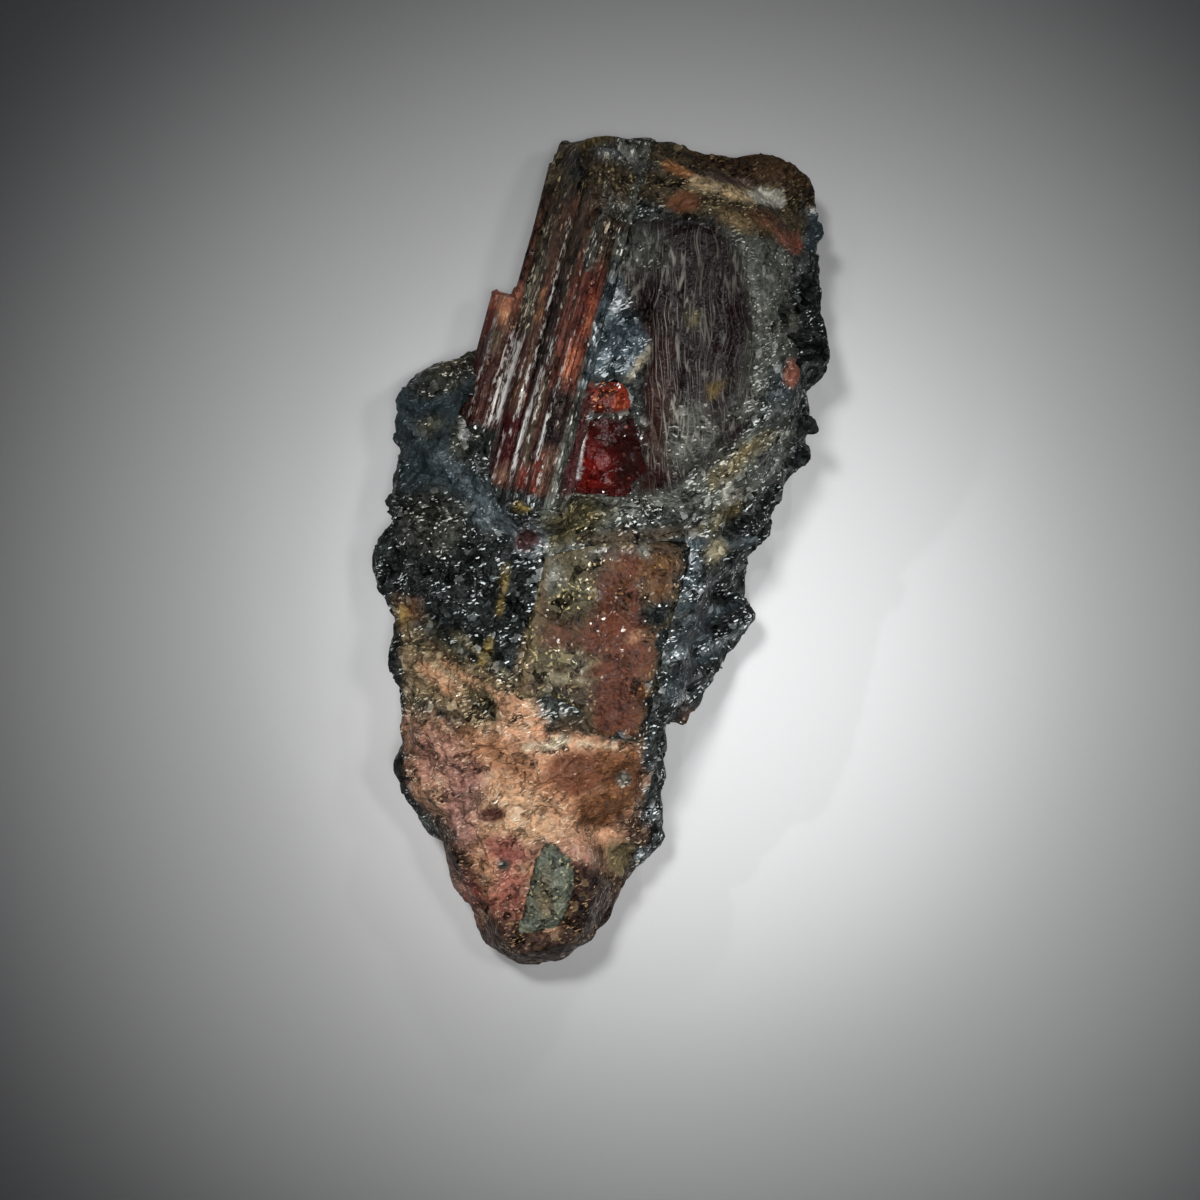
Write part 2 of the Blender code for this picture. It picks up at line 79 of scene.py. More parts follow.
def fine_copy(node, name, face, grown=0.0):
    """The node's solid as a new piece of small even faces (mm), its skin moved out by grown."""
    shape = bmesh.new()
    shape.from_mesh(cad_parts[node].data)
    bmesh.ops.remove_doubles(shape, verts=shape.verts, dist=1e-6)
    mesh = bpy.data.meshes.new(name)
    shape.to_mesh(mesh)
    shape.free()
    piece = bpy.data.objects.new(name, mesh)
    bpy.context.scene.collection.objects.link(piece)
    even = piece.modifiers.new("even faces", "REMESH")
    even.mode = "VOXEL"
    even.voxel_size = face * MM
    ready = piece.evaluated_get(bpy.context.evaluated_depsgraph_get())
    piece.data = bpy.data.meshes.new_from_object(ready)
    piece.data.name = name
    piece.modifiers.clear()
    if grown:
        set_points(piece, points_of(piece) + normals_of(piece) * grown)
    return piece


def points_of(piece):
    """The piece's vertices, in mm."""
    flat = np.empty(len(piece.data.vertices) * 3, np.float32)
    piece.data.vertices.foreach_get("co", flat)
    return flat.reshape(-1, 3).astype(float) / MM


def normals_of(piece):
    flat = np.empty(len(piece.data.vertices) * 3, np.float32)
    piece.data.vertex_normals.foreach_get("vector", flat)
    return flat.reshape(-1, 3).astype(float)


def set_points(piece, points):
    """Moves the vertices (mm), none of them past the solids' own box."""
    held = np.clip(points * MM, np.array(cad_low), np.array(cad_high))
    piece.data.vertices.foreach_set("co", held.astype(np.float32).ravel())
    piece.data.update()


def cut_finer(piece, faces_up):
    """Cuts each face that points up by at least this much in four."""
    shape = bmesh.new()
    shape.from_mesh(piece.data)
    edges = {edge for face in shape.faces if face.normal.z > faces_up for edge in face.edges}
    bmesh.ops.subdivide_edges(shape, edges=list(edges), cuts=1, use_grid_fill=True)
    bmesh.ops.triangulate(shape, faces=[face for face in shape.faces if len(face.verts) > 4])
    shape.to_mesh(piece.data)
    shape.free()


def drift(points, size, seed):
    """Smooth random values from -1 to 1 that change over about size mm."""
    table = np.random.default_rng(seed).uniform(-1, 1, (16, 16, 16))
    cell = points / size
    corner = np.floor(cell).astype(int)
    inside = cell - corner
    inside = inside * inside * (3 - 2 * inside)
    total = np.zeros(len(points))
    for step in itertools.product((0, 1), repeat=3):
        share = np.prod(np.where(step, inside, 1 - inside), axis=1)
        total += share * table[tuple(((corner + step) % 16).T)]
    return total


def tree_of(points):
    tree = kdtree.KDTree(len(points))
    for index, point in enumerate(points):
        tree.insert(point, index)
    tree.balance()
    return tree


def knock_chips(points, normals, count, reach, bite, tilt, seed, grains=None, where=None):
    """Breaks count flat chips off the skin. A chip spans reach mm (least, most) and bites this share
    of it deep. It faces a cleavage direction of the grain there, or the skin's own tilted by tilt."""
    dice = np.random.default_rng(seed)
    tree = tree_of(points)
    spots = np.arange(len(points)) if where is None else np.flatnonzero(where)
    for spot in dice.choice(spots, count):
        size = dice.uniform(*reach)
        facing = normals[spot] + dice.normal(0, tilt, 3)
        facing /= np.linalg.norm(facing)
        if grains:
            axes = grains[1][grains[0].find(points[spot])[1]]
            along = axes.T @ facing
            best = int(np.argmax(np.abs(along)))
            if abs(along[best]) > 0.72:
                facing = axes[:, best] * np.sign(along[best])
        near = np.array([index for _, index, _ in tree.find_range(points[spot], size)] or [spot])
        past = (points[near] - points[spot]) @ facing + bite * size
        struck = (past > 0) & (past < 0.8 * size) & (normals[near] @ facing > -0.2)
        points[near[struck]] -= past[struck, None] * facing


def tone(red, green, blue):
    """A screen colour (0 to 255) as the light values that a shader takes."""
    return [((c / 255 + 0.055) / 1.055) ** 2.4 if c > 10 else c / 3294 for c in (red, green, blue)]


def finish_of(shade, fleck, grit, sparkle, metal, rough):
    """One finish: its colour, its bright flecks, how uneven the grains are, the share of flecks, how
    metallic it is and how rough. White flecks, as on the ore and grit, are painted glints; paler
    coloured ones are grains of their own."""
    return np.array([*tone(*shade), *tone(*fleck), grit, sparkle, metal, rough])


def inside_outline(points, outline):
    """How far each point is inside this outline, seen from above (mm, less than 0 outside it)."""
    x, y = points[:, 0], points[:, 1]
    nearest = np.full(len(points), 1e6)
    within = np.zeros(len(points), bool)
    for (ax, ay), (bx, by) in zip(outline, outline[1:] + outline[:1]):
        span = np.array((bx - ax, by - ay))
        share = ((x - ax) * span[0] + (y - ay) * span[1]) / (span @ span)
        share = np.clip(share, 0, 1)
        nearest = np.minimum(nearest, np.hypot(x - ax - share * span[0], y - ay - share * span[1]))
        crossed = (ay > y) != (by > y)
        edge = ax + (y - ay) * span[0] / (span[1] if span[1] else 1e-9)
        within ^= crossed & (x < edge)
    return np.where(within, nearest, -nearest)


def inside_oval(points, x, y, long, wide, lean, deep=5.0):
    """How far each point is inside an oval grain that leans this many degrees from +X and reaches
    this deep under the upper face (mm)."""
    turn = math.radians(lean)
    dx, dy = points[:, 0] - x, points[:, 1] - y
    away = np.hypot(dx, dy)
    face = points[away < away.min() + 0.6, 2].max()
    small = min(long, wide)
    along = (dx * math.cos(turn) + dy * math.sin(turn)) / long
    across = (dy * math.cos(turn) - dx * math.sin(turn)) / wide
    down = np.maximum(face - points[:, 2], 0) / max(small * 3, deep)
    return (1 - np.sqrt(along**2 + across**2 + down**2)) * small


def inside_vein(points, route, half_width):
    """How far each point is inside a vein along this route (mm)."""
    nearest = np.full(len(points), 1e6)
    for (ax, ay), (bx, by) in zip(route, route[1:]):
        span = np.array((bx - ax, by - ay))
        off = points[:, :2] - (ax, ay)
        share = np.clip(off @ span / (span @ span), 0, 1)
        nearest = np.minimum(nearest, np.linalg.norm(off - share[:, None] * span, axis=1))
    return half_width - nearest


class Coat:
    """The finishes of one piece, laid over each other on its vertices."""

    def __init__(self, piece, finish):
        self.piece = piece
        self.points = points_of(piece)
        self.values = np.tile(finish, (len(self.points), 1))
        self.extra = {}
        self.laid = 0

    def lay(self, depth, finish, ragged=0.6, soft=0.35, strength=1.0):
        """Blends a finish in where depth (mm) is over 0, its edge shifted by up to ragged mm."""
        self.laid += 1
        shift = drift(self.points, EDGE_WAVE, self.laid) * 0.6
        shift += drift(self.points, EDGE_FRAY, self.laid + 90) * 0.4
        share = np.clip((depth + shift * ragged) / soft * 0.5 + 0.5, 0, 1) * strength
        self.values += share[:, None] * (finish - self.values)

    def lay_all(self, rows):
        """Lays each row's finish in its shape: an oval (x, y, long, wide, lean), an outline as a list of
        corners, or a vein (route, half its width). The finish is followed by ragged, soft, strength."""
        for shape, *finish in rows:
            if isinstance(shape, list):
                depth = inside_outline(self.points, shape)
            elif isinstance(shape[0], list):
                depth = inside_vein(self.points, *shape)
            else:
                depth = inside_oval(self.points, *shape)
            self.lay(depth, *finish)

    def mark(self, name, depth, soft=0.5, strength=1.0):
        """Keeps a value from 0 to 1 under this name, for the shader."""
        share = np.clip(depth / soft * 0.5 + 0.5, 0, 1) * strength
        self.extra[name] = np.maximum(self.extra.get(name, 0), share)

    def write(self):
        """Writes the finishes on the mesh, under the names that the shader reads."""
        attributes = self.piece.data.attributes
        for name, first in (("shade", 0), ("fleck", 3)):
            colours = np.ones((len(self.points), 4), np.float32)
            colours[:, :3] = self.values[:, first:first + 3]
            attributes.new(name, "FLOAT_COLOR", "POINT").data.foreach_set("color", colours.ravel())
        named = {name: self.values[:, column] for name, column in COLUMNS.items()}
        for name, values in {**named, **self.extra}.items():
            kept = attributes.new(name, "FLOAT", "POINT")
            kept.data.foreach_set("value", values.astype(np.float32))


class Wire:
    """One output in a material's node tree. Sums and products of it add Math nodes."""

    def __init__(self, socket):
        self.socket = socket

    def node(self, kind, settings=(), values=(), out=0):
        """Adds a node of this kind: its settings first, then what its sockets hold or are fed."""
        made = self.socket.id_data.nodes.new("ShaderNode" + kind)
        for name, value in dict(settings).items():
            setattr(made, name, value)
        for key, value in dict(values).items():
            if isinstance(key, int):
                slot = made.inputs[key]
            else:
                slot = next(s for s in made.inputs if key in (s.identifier, s.name))
            if isinstance(value, Wire):
                self.socket.id_data.links.new(value.socket, slot)
            elif slot.type == "RGBA":
                slot.default_value = (*value, 1)
            else:
                slot.default_value = value
        return Wire(made.outputs[out]) if made.outputs else None

    def maths(self, operation, first, second=0.0):
        return self.node("Math", {"operation": operation}, {0: first, 1: second})

    def __add__(self, other):
        return self.maths("ADD", self, other)

    def __sub__(self, other):
        return self.maths("SUBTRACT", self, other)

    def __rsub__(self, other):
        return self.maths("SUBTRACT", other, self)

    def __mul__(self, other):
        return self.maths("MULTIPLY", self, other)

    def __abs__(self):
        return self.maths("ABSOLUTE", self)

    __radd__ = __add__
    __rmul__ = __mul__

    def least(self, other):
        return self.maths("MAXIMUM", self, other)

    def most(self, other):
        return self.maths("MINIMUM", self, other)

    def step(self, low, high):
        """0 under low, 1 over high, smooth between."""
        settings = {"interpolation_type": "SMOOTHSTEP"}
        return self.node("MapRange", settings, {"Value": self, "From Min": low, "From Max": high})

    def vector(self, operation, other):
        key = 3 if operation == "SCALE" else 1
        return self.node("VectorMath", {"operation": operation}, {0: self, key: other})

    def part(self, index):
        return self.node("SeparateXYZ", (), {0: self}, out=index)

    def over(self, colour, share):
        """This colour with another laid over it by share."""
        values = {"Factor_Float": share, "A_Color": self, "B_Color": colour}
        return self.node("Mix", {"data_type": "RGBA"}, values, out=2)

    def noise(self, size, detail=2.0, out=0):
        return self.node("TexNoise", (), {"Vector": self, "Scale": 1 / size, "Detail": detail}, out=out)

    def grains(self, size):
        """A random colour for each grain of this size (mm)."""
        return self.node("TexVoronoi", (), {"Vector": self, "Scale": 1 / size}, out=1)

    def seams(self, size):
        """How far it is to the edge of such a grain, in sizes."""
        settings = {"feature": "DISTANCE_TO_EDGE"}
        return self.node("TexVoronoi", settings, {"Vector": self, "Scale": 1 / size})

    def attribute(self, name, out=2):
        return self.node("Attribute", {"attribute_name": name}, out=out)

    def bump(self, height, depth, normal=None):
        """A normal with this relief, depth mm deep."""
        values = {"Height": height, "Distance": depth * MM}
        if normal:
            values["Normal"] = normal
        return self.node("Bump", (), values)


def new_material(piece, name):
    """Gives the piece an empty material. What comes back is the place on the piece in mm, which its
    patterns start from."""
    material = bpy.data.materials.new(name)
    material.use_nodes = True
    tree = material.node_tree
    tree.nodes.clear()
    piece.data.materials.clear()
    piece.data.materials.append(material)
    place = Wire(tree.nodes.new("ShaderNodeTexCoord").outputs["Object"])
    return place.vector("SCALE", 1 / MM)


def surfaced(place, **values):
    """Ends a material in one surface shader."""
    keys = {name.replace("_", " ").title().replace("Ior", "IOR"): v for name, v in values.items()}
    shader = place.node("BsdfPrincipled", (), keys)
    place.node("OutputMaterial", (), {"Surface": shader})


def gritty_look(place, grain, flake, stretch=(1, 1, 1), turn=0.0):
    """What all the stony finishes share: plates, grains and bright flakes, each with its own tilt and
    its own brightness. Where the fleck colour is white, the flakes' colour is a painted glint. It gives
    the colour, the metal, the roughness, the normal and the flakes."""
    grit, sparkle = place.attribute("grit"), place.attribute("sparkle")
    metal, rough = place.attribute("metal"), place.attribute("rough")
    bent = place.vector("ADD", place.noise(1.4, 2, out=1).vector("SCALE", 0.9))
    plates, coarse = bent.grains(grain * 2.7), bent.grains(grain)
    turned = bent.node("VectorRotate", {"rotation_type": "Z_AXIS"}, {"Vector": bent, "Angle": turn})
    flakes = turned.vector("MULTIPLY", stretch).grains(flake)
    cloud = bent.noise(0.4, 3)
    crowd = place.noise(2.6, 2).step(0.36, 0.66)
    uneven = (plates.part(0) - 0.5) * 0.9 + (coarse.part(0) - 0.5) * 1.1
    light = 1 + grit * (uneven + (cloud - 0.5) * 2.4 + (flakes.part(1) - 0.5) * 0.6)
    chosen = (flakes.part(0) - (1 - sparkle * (0.05 + crowd * 0.4))).step(0.0, 0.03)
    bright_grain = (coarse.part(1) - (1 - sparkle * 0.5)).step(0.0, 0.3) * 0.4
    # Flakes and grains laid in the fleck colour; where that is white it is painted glint.
    share = (chosen * (0.3 + 1.1 * flakes.part(2))).least(bright_grain).most(1.0)
    colour = place.attribute("shade", 0).vector("SCALE", light.least(0.1))
    colour = colour.over(place.attribute("fleck", 0), share)
    metal = metal * (1 - share)
    roughness = (rough + (coarse.part(2) - 0.5) * 0.3).least(0.16)
    lean = coarse.vector("ADD", plates).vector("SUBTRACT", (1, 1, 1)).vector("SCALE", grit * 0.6)
    lean = lean.vector("ADD", flakes.vector("SUBTRACT", (0.5, 0.5, 0.5)).vector("SCALE", sparkle))
    skin = place.node("NewGeometry", out=1)
    facing = skin.node("VectorMath", {"operation": "NORMALIZE"}, {0: skin.vector("ADD", lean)})
    return colour, metal, roughness, place.bump(cloud, 0.2, facing), share


def edge_distance(points, normals):
    """How far each point of a crystal is from its sides, seen from above (mm)."""
    sides = tree_of(points[np.abs(normals[:, 2]) < 0.4] * (1, 1, 0))
    return np.array([sides.find((x, y, 0))[2] for x, y, _ in points])


def blade_axes(points):
    """How far each point is across the blades and along them (mm)."""
    x, y = points[:, 0] - BLADE_FOOT[0], points[:, 1] - BLADE_FOOT[1]
    return (x * math.cos(BLADE_LEAN) - y * math.sin(BLADE_LEAN),
            x * math.sin(BLADE_LEAN) + y * math.cos(BLADE_LEAN))


def groove_heights(across, along, seed):
    """The growth grooves: narrow flats, each at its own height and slope, that change along the blade."""
    dice = np.random.default_rng(seed)
    edges = -16 + np.cumsum(dice.uniform(0.3, 1.15, 40))
    heights = []
    for _ in range(2):
        level, slope = dice.uniform(-0.7, 0.0, 41), dice.uniform(-0.55, 0.55, 41)
        which = np.searchsorted(edges, across)
        start = edges[np.clip(which - 1, 0, 39)]
        heights.append(level[which] + slope[which] * (across - start - 0.4))
    share = np.clip(0.5 + 1.6 * drift(np.column_stack([across * 0.4, along, along * 0]), 9, seed), 0, 1)
    return heights[0] * share + heights[1] * (1 - share)


GALENA = finish_of((48, 52, 50), (242, 248, 248), 0.95, 0.4, 0.3, 0.28)
BLUE_GALENA = finish_of((72, 84, 90), (216, 226, 230), 0.8, 0.5, 0.4, 0.26)
# Bare silvery galena, painted brighter than the rest of the ore as a stand-in for its glints.
SILVER_GALENA_AND_GLINT = finish_of((130, 140, 144), (255, 255, 255), 0.95, 0.95, 0.4, 0.22)
GREY_GRIT = finish_of((88, 91, 84), (228, 230, 220), 1.0, 0.48, 0.1, 0.3)
YELLOW_GRIT = finish_of((140, 118, 62), (226, 196, 104), 0.9, 0.55, 0.1, 0.5)
BROWN_BREAK = finish_of((70, 61, 47), (182, 164, 122), 0.95, 0.42, 0.1, 0.3)
SALMON_STONE = finish_of((148, 92, 73), (212, 152, 126), 0.6, 0.3, 0.0, 0.4)
WINE = finish_of((66, 39, 34), (150, 116, 104), 0.55, 0.16, 0.0, 0.2)
WINE_DEEP = finish_of((62, 20, 22), (150, 96, 84), 0.4, 0.06, 0.0, 0.18)
WINE_BLACK = finish_of((38, 29, 27), (150, 132, 118), 0.7, 0.24, 0.0, 0.22)
WINE_BROWN = finish_of((94, 68, 55), (170, 140, 116), 0.55, 0.2, 0.0, 0.24)
WINE_OLIVE = finish_of((88, 74, 58), (164, 146, 120), 0.5, 0.2, 0.0, 0.26)
DULL_BRICK = finish_of((84, 54, 44), (176, 130, 106), 0.75, 0.26, 0.0, 0.22)
BRICK = finish_of((102, 58, 47), (180, 124, 100), 0.65, 0.18, 0.0, 0.22)
CHERRY = finish_of((94, 42, 33), (192, 112, 88), 0.5, 0.1, 0.0, 0.18)
# Painted light: the orange of light coming through the right blades, painted into their colour.
PAINTED_THROUGH_LIGHT = finish_of((158, 88, 66), (222, 162, 130), 0.5, 0.16, 0.0, 0.2)
PAINTED_THROUGH_LIGHT_BRIGHT = finish_of((208, 126, 90), (242, 198, 158), 0.4, 0.25, 0.0, 0.22)
APRICOT = finish_of((172, 122, 88), (222, 186, 148), 0.4, 0.2, 0.0, 0.35)
BLADE_EDGE = finish_of((24, 22, 20), (130, 124, 110), 0.8, 0.2, 0.0, 0.45)
BLADE_DUST = finish_of((70, 64, 54), (220, 208, 182), 0.95, 0.6, 0.05, 0.3)

# Each streak: how far across it lies, half its width, where along it starts and ends (mm).
BLADE_STREAKS = (
    (-9.9, 0.75, 3.6, 19.5, BLADE_EDGE), (-8.4, 0.95, -0.8, 17.0, BLADE_DUST),
    (-8.9, 0.5, 13.4, 16.2, WINE), (-8.3, 0.45, 14.4, 16.8, WINE_OLIVE), (-7.1, 0.5, 2.4, 12.0, DULL_BRICK),
    (-7.2, 0.34, 0.8, 2.6, APRICOT), (-7.35, 0.22, 3.2, 4.4, APRICOT),
    (-7.0, 0.55, -9.2, 1.0, WINE_BROWN), (-6.1, 0.4, -6.0, 16.5, WINE_BLACK),
    (-6.3, 0.35, 12.4, 14.4, BRICK), (-5.5, 0.42, 9.0, 16.5, WINE_BLACK),
    (-6.9, 1.15, -16.8, -9.4, WINE_DEEP), (-6.6, 0.9, -16.8, -15.2, WINE_BROWN),
    (-5.5, 0.25, -4.0, 8.0, WINE_BLACK), (-4.4, 0.3, 10.2, 16.8, BLADE_DUST),
    (-2.9, 1.1, 11.5, 16.8, WINE), (-2.8, 0.45, 11.0, 13.0, DULL_BRICK),
    (-4.4, 0.5, -15.0, -5.6, WINE_OLIVE), (-4.45, 0.22, -5.6, -1.2, BLADE_DUST),
    (-3.95, 0.85, 0.5, 8.8, BRICK), (-2.1, 1.0, -0.2, 8.2, CHERRY), (-1.75, 0.4, 0.4, 4.6, PAINTED_THROUGH_LIGHT),
    (-1.85, 0.16, 1.2, 2.3, PAINTED_THROUGH_LIGHT_BRIGHT), (-2.4, 1.4, -5.9, -0.3, BRICK),
    (-2.2, 1.1, -3.8, -0.8, PAINTED_THROUGH_LIGHT), (-2.75, 0.3, -4.2, -1.6, PAINTED_THROUGH_LIGHT_BRIGHT),
    (-3.9, 0.4, -5.0, -0.6, BRICK), (-2.3, 1.2, -12.0, -6.1, WINE_BLACK),
    (-3.9, 0.2, -13.0, -6.0, WINE), (-2.0, 0.8, -17.4, -12.2, WINE_BROWN),
    (-2.95, 0.5, -17.6, -13.0, CHERRY), (-4.2, 0.6, -17.4, -14.6, CHERRY),
    (-7.6, 0.4, 8.0, 13.5, DULL_BRICK), (-4.0, 0.9, 10.4, 14.0, DULL_BRICK),
    (-5.2, 0.5, 11.5, 14.0, WINE_BROWN),
    (-11.2, 1.5, -11.4, 4.2, WINE), (-11.1, 1.3, -0.6, 3.0, BRICK), (-11.0, 0.6, 0.0, 2.5, APRICOT),
    (-10.0, 0.4, -1.0, 4.2, WINE_BROWN), (-12.2, 0.3, -1.5, 2.6, CHERRY),
    (-11.1, 0.55, -3.3, -0.9, WINE_OLIVE), (-4.9, 0.16, 2.4, 9.7, BLADE_DUST),
)

# Painted highlights: the white glints along the grooves, with how bright each is.
PAINTED_HIGHLIGHT_STREAKS = (
    (-8.95, 0.95, -11.4, -0.4, 0.56), (-8.5, 0.3, -10.6, -1.4, 1.0), (-9.35, 0.2, -11.2, -5.2, 1.0),
    (-9.85, 0.09, -7.4, -0.8, 0.8), (-11.7, 0.1, -11.0, 0.4, 0.8), (-7.45, 0.1, -6.2, -3.2, 0.8),
    (-7.35, 0.11, -16.7, -11.6, 0.8), (-6.62, 0.13, -9.4, -3.6, 1.0), (-6.45, 0.1, -3.6, 12.0, 0.8),
    (-6.85, 0.09, -11.6, -9.4, 0.8), (-5.45, 0.27, -15.4, -8.4, 1.0), (-5.2, 0.36, -8.6, -3.8, 0.62),
    (-5.3, 0.14, -8.6, -4.0, 1.0), (-5.0, 0.28, -3.8, -0.6, 0.62), (-5.05, 0.15, 0.2, 1.7, 0.62),
    (-5.5, 0.18, -17.0, -15.5, 0.62), (-3.15, 0.1, -8.5, 0.6, 0.8), (-3.27, 0.2, -13.7, -8.4, 1.0),
    (-4.6, 0.08, -15.0, -6.0, 0.8), (-2.5, 0.09, -16.4, -13.4, 0.8), (-3.8, 0.09, -17.0, -14.6, 0.8),
    (-3.9, 0.08, 0.8, 9.6, 0.55),
)

blades = fine_copy("striated_crystal", "rhodonite_blades", face=0.3, grown=0.34)
cut_finer(blades, faces_up=0.35)
points, normals = points_of(blades), normals_of(blades)
across, along = blade_axes(points)

# The grooves run up to the break. Past them a bulge rounds the upper end.
top_slope = (points - BREAK_SPOT) @ BREAK_FACING
on_blades = np.clip((-top_slope - 0.6) / 0.8, 0, 1) * np.clip(normals[:, 2] * 2.5, 0, 1)
points[:, 2] += on_blades * (groove_heights(across, along, seed=3) - 0.05)
points[:, 2] += on_blades * 0.12 * drift(np.column_stack([across * 4, along * 0.5, along * 0]), 1, 8)
near_end = np.clip((along - 17.5) / 3, 0, 1)
bulge = 0.85 * np.exp(-((across + 5.4) / 1.7) ** 2) + 0.25 * drift(points * (1, 0.2, 1), 1.3, 32)
points[:, 1] += near_end * bulge

# The small blade's end, the rough rim on the left and the chips of the break.
along_blades = np.array((math.sin(BLADE_LEAN), math.cos(BLADE_LEAN)))
past_end = np.where(across < -9.8, np.maximum(along - SMALL_BLADE_END, 0), 0)
points[:, :2] -= past_end[:, None] * 0.9 * along_blades
rim = np.clip((along - 3.4) / 1.2, 0, 1) * np.clip((-8.7 - across) / 0.8, 0, 1)
points += normals * (rim * (0.3 + 0.5 * drift(points, 0.8, 33)))[:, None]
hard = top_slope > -0.5
knock_chips(points, normals, count=500, reach=(0.6, 1.8), bite=0.08, tilt=0.4, seed=31, where=hard)
set_points(blades, points)

coat = Coat(blades, WINE)
p = coat.points
across, along = blade_axes(p)
straight = across  # the streaks follow the grain of the crystal, which wavers a little
across = across + 0.16 * drift(np.column_stack([across * 0.2, along, along * 0]), 3.5, 12)
for middle, half, start, end, finish in BLADE_STREAKS:
    depth = np.minimum(half - np.abs(across - middle), np.minimum(along - start, end - along) * 0.4)
    coat.lay(depth, finish, min(0.3, half * 0.6), min(0.3, half * 0.7))
# The painted highlights are kept as the value bright, for the shader.
for middle, half, start, end, strength in PAINTED_HIGHLIGHT_STREAKS:
    depth = np.minimum(half + 0.06 - np.abs(across - middle), np.minimum(along - start, end - along) * 0.4)
    coat.mark("bright", depth, 0.3, strength)
across = straight

# Dust on the upper half, and the rock's own greys and browns where it laps on to the blades.
coat.lay(along - 8.0, WINE_OLIVE, 3.0, 3.0, 0.45)
coat.lay(np.minimum(along - 8.9, across + 3.6), BLADE_DUST, 1.4, 1.0, 0.65)
coat.lay(np.minimum(-9.7 - across, along - 1.5), SALMON_STONE, 0.3, 0.3, 0.7)
coat.lay(np.minimum(along - 4.4, -9.75 - across), BLADE_EDGE, 0.3, 0.3)
coat.lay(np.minimum(-8.1 - across, -11.4 - along), GALENA, 0.4, 0.4)
coat.lay(-17.2 - along, GALENA, 0.5, 0.4)
coat.lay(np.minimum(across + 1.15, 12 - along), GREY_GRIT, 0.35, 0.3, 0.9)
coat.lay(np.minimum(across + 1.0, 7 - np.abs(along - 2)), BLUE_GALENA, 0.35, 0.3, 0.9)
coat.lay(np.maximum(inside_outline(p, TOP_OUTLINE), along - 17.2), BROWN_BREAK, 0.9, 0.4)
coat.lay_all((
    ((-2.4, 42.3, 1.7, 1.1, 0), WINE_BLACK, 0.8, 0.6, 0.8),
    ((-2.4, 40.4, 0.7, 0.4, 0), BLUE_GALENA, 0.3, 0.3, 0.9),
    ((2.2, 42.5, 2.6, 0.8, -14), BLUE_GALENA, 0.7, 0.5, 0.7),
))
edge = edge_distance(p, normals)
right_rim = np.where((across > -4) & (along > 7), 0.5 - edge, -1)
coat.lay(right_rim, GREY_GRIT, 0.5, 0.5, 0.8)
coat.lay_all((
    ((-0.9, 44.1, 1.3, 0.6, 20), YELLOW_GRIT, 0.6, 0.5, 0.6),
    ((1.5, 42.7, 1.0, 0.35, -14), SILVER_GALENA_AND_GLINT, 0.4, 0.3, 0.5),
))
coat.values[:, COLUMNS["rough"]] += 0.35 * np.clip((0.85 - normals[:, 2]) * 2, 0, 1)
coat.write()

place = new_material(blades, "wine rhodonite")
turned = place.node("VectorRotate", {"rotation_type": "Z_AXIS"}, {"Vector": place, "Angle": BLADE_LEAN})
long_grain = turned.vector("MULTIPLY", (1, 0.09, 1))  # patterns drawn out along the blades
colour, metal, roughness, facing, flaked = gritty_look(turned, grain=1.0, flake=0.24, stretch=(1, 0.4, 1))
stripes = long_grain.grains(STRIPE)
fine_stripes = long_grain.noise(FINE_STRIPE, 3)
shading = 1 + ((stripes.part(0) - 0.5) * 0.7 + (fine_stripes - 0.5) * 1.6) * (0.3 + turned.attribute("grit"))
colour = colour.vector("SCALE", shading.least(0.25))
silver_thread = (fine_stripes - 0.62).step(0.0, 0.05) * stripes.part(2).step(0.35, 0.6)
colour = colour.over(tone(150, 132, 120), silver_thread * 0.55)
# Painted highlight: white laid over the marked lines, broken up by pits.
pitted = turned.vector("MULTIPLY", (1, 0.35, 1)).noise(0.3, 3)
bright = turned.attribute("bright") * 1.1 + (fine_stripes - 0.5) * 1.1 + (pitted - 0.5) * 2.6
shown_painted_highlight = (bright - 0.52).step(0.0, 0.24) * (turned.attribute("bright") * 1.2 - 0.1)
colour = colour.over(tone(250, 246, 240), shown_painted_highlight.most(1.0))
surfaced(place, base_color=colour, metallic=metal, roughness=roughness, specular_ior_level=0.16,
         normal=place.bump(fine_stripes + stripes.part(1) * 0.5, 0.12, facing),
         coat_weight=(shown_painted_highlight * 0.5 + flaked * 0.5 + 0.04).most(1.0), coat_roughness=0.1)
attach(blades, "root")
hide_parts("striated_crystal")


# ---------------------------------------------------------------------------------------------------
# The lined crystal: one plum-black rhodonite plate, smooth under the hand. Threads of silvery mineral
# have grown over it, fine and wavy, all running up the plate and crossing here and there.

# How far the plate's plum colour and its threads reach.
LINED_OUTLINE = [(0.2, 34), (5.4, 35.6), (12.9, 34.4), (18.0, 33), (19.8, 30.1), (18.9, 23.9), (17.2, 16.9),
                 (15.4, 12.5), (11.4, 8.8), (7.3, 6.6), (3.6, 6.2), (5.4, 11), (4.3, 16.9), (5.8, 20.4),
                 (4.4, 24), (2.6, 28.2), (1.1, 31.2)]


def silver_threads(place):
    """Fine threads that run along Y, part and meet again: how strong one is here, from 0 to 1."""
    swayed = place.vector("ADD", place.noise(7.0, 1, out=1).vector("SCALE", 3.0))
    flat = swayed.vector("MULTIPLY", (1, 0.06, 0.2))
    braid = 1 - flat.seams(0.85).step(0.01, 0.055)
    single = 1 - abs(flat.noise(0.6, 0) - 0.5).step(0.006, 0.03)
    broken = place.vector("MULTIPLY", (1, 0.3, 1)).noise(0.6, 2).step(0.36, 0.58)
    return braid.least(single * 0.8) * broken


def sink_rim(points, normals, width, depth):
    """Rounds the upper rim of a crystal down, and says how far each point is from its sides."""
    away = edge_distance(points, normals)
    rim = np.clip(1 - away / (width * (1 + 0.6 * drift(points, 1.5, 77))), 0, 1)
    points[:, 2] -= rim**1.5 * depth * (normals[:, 2] > 0.2)
    return away


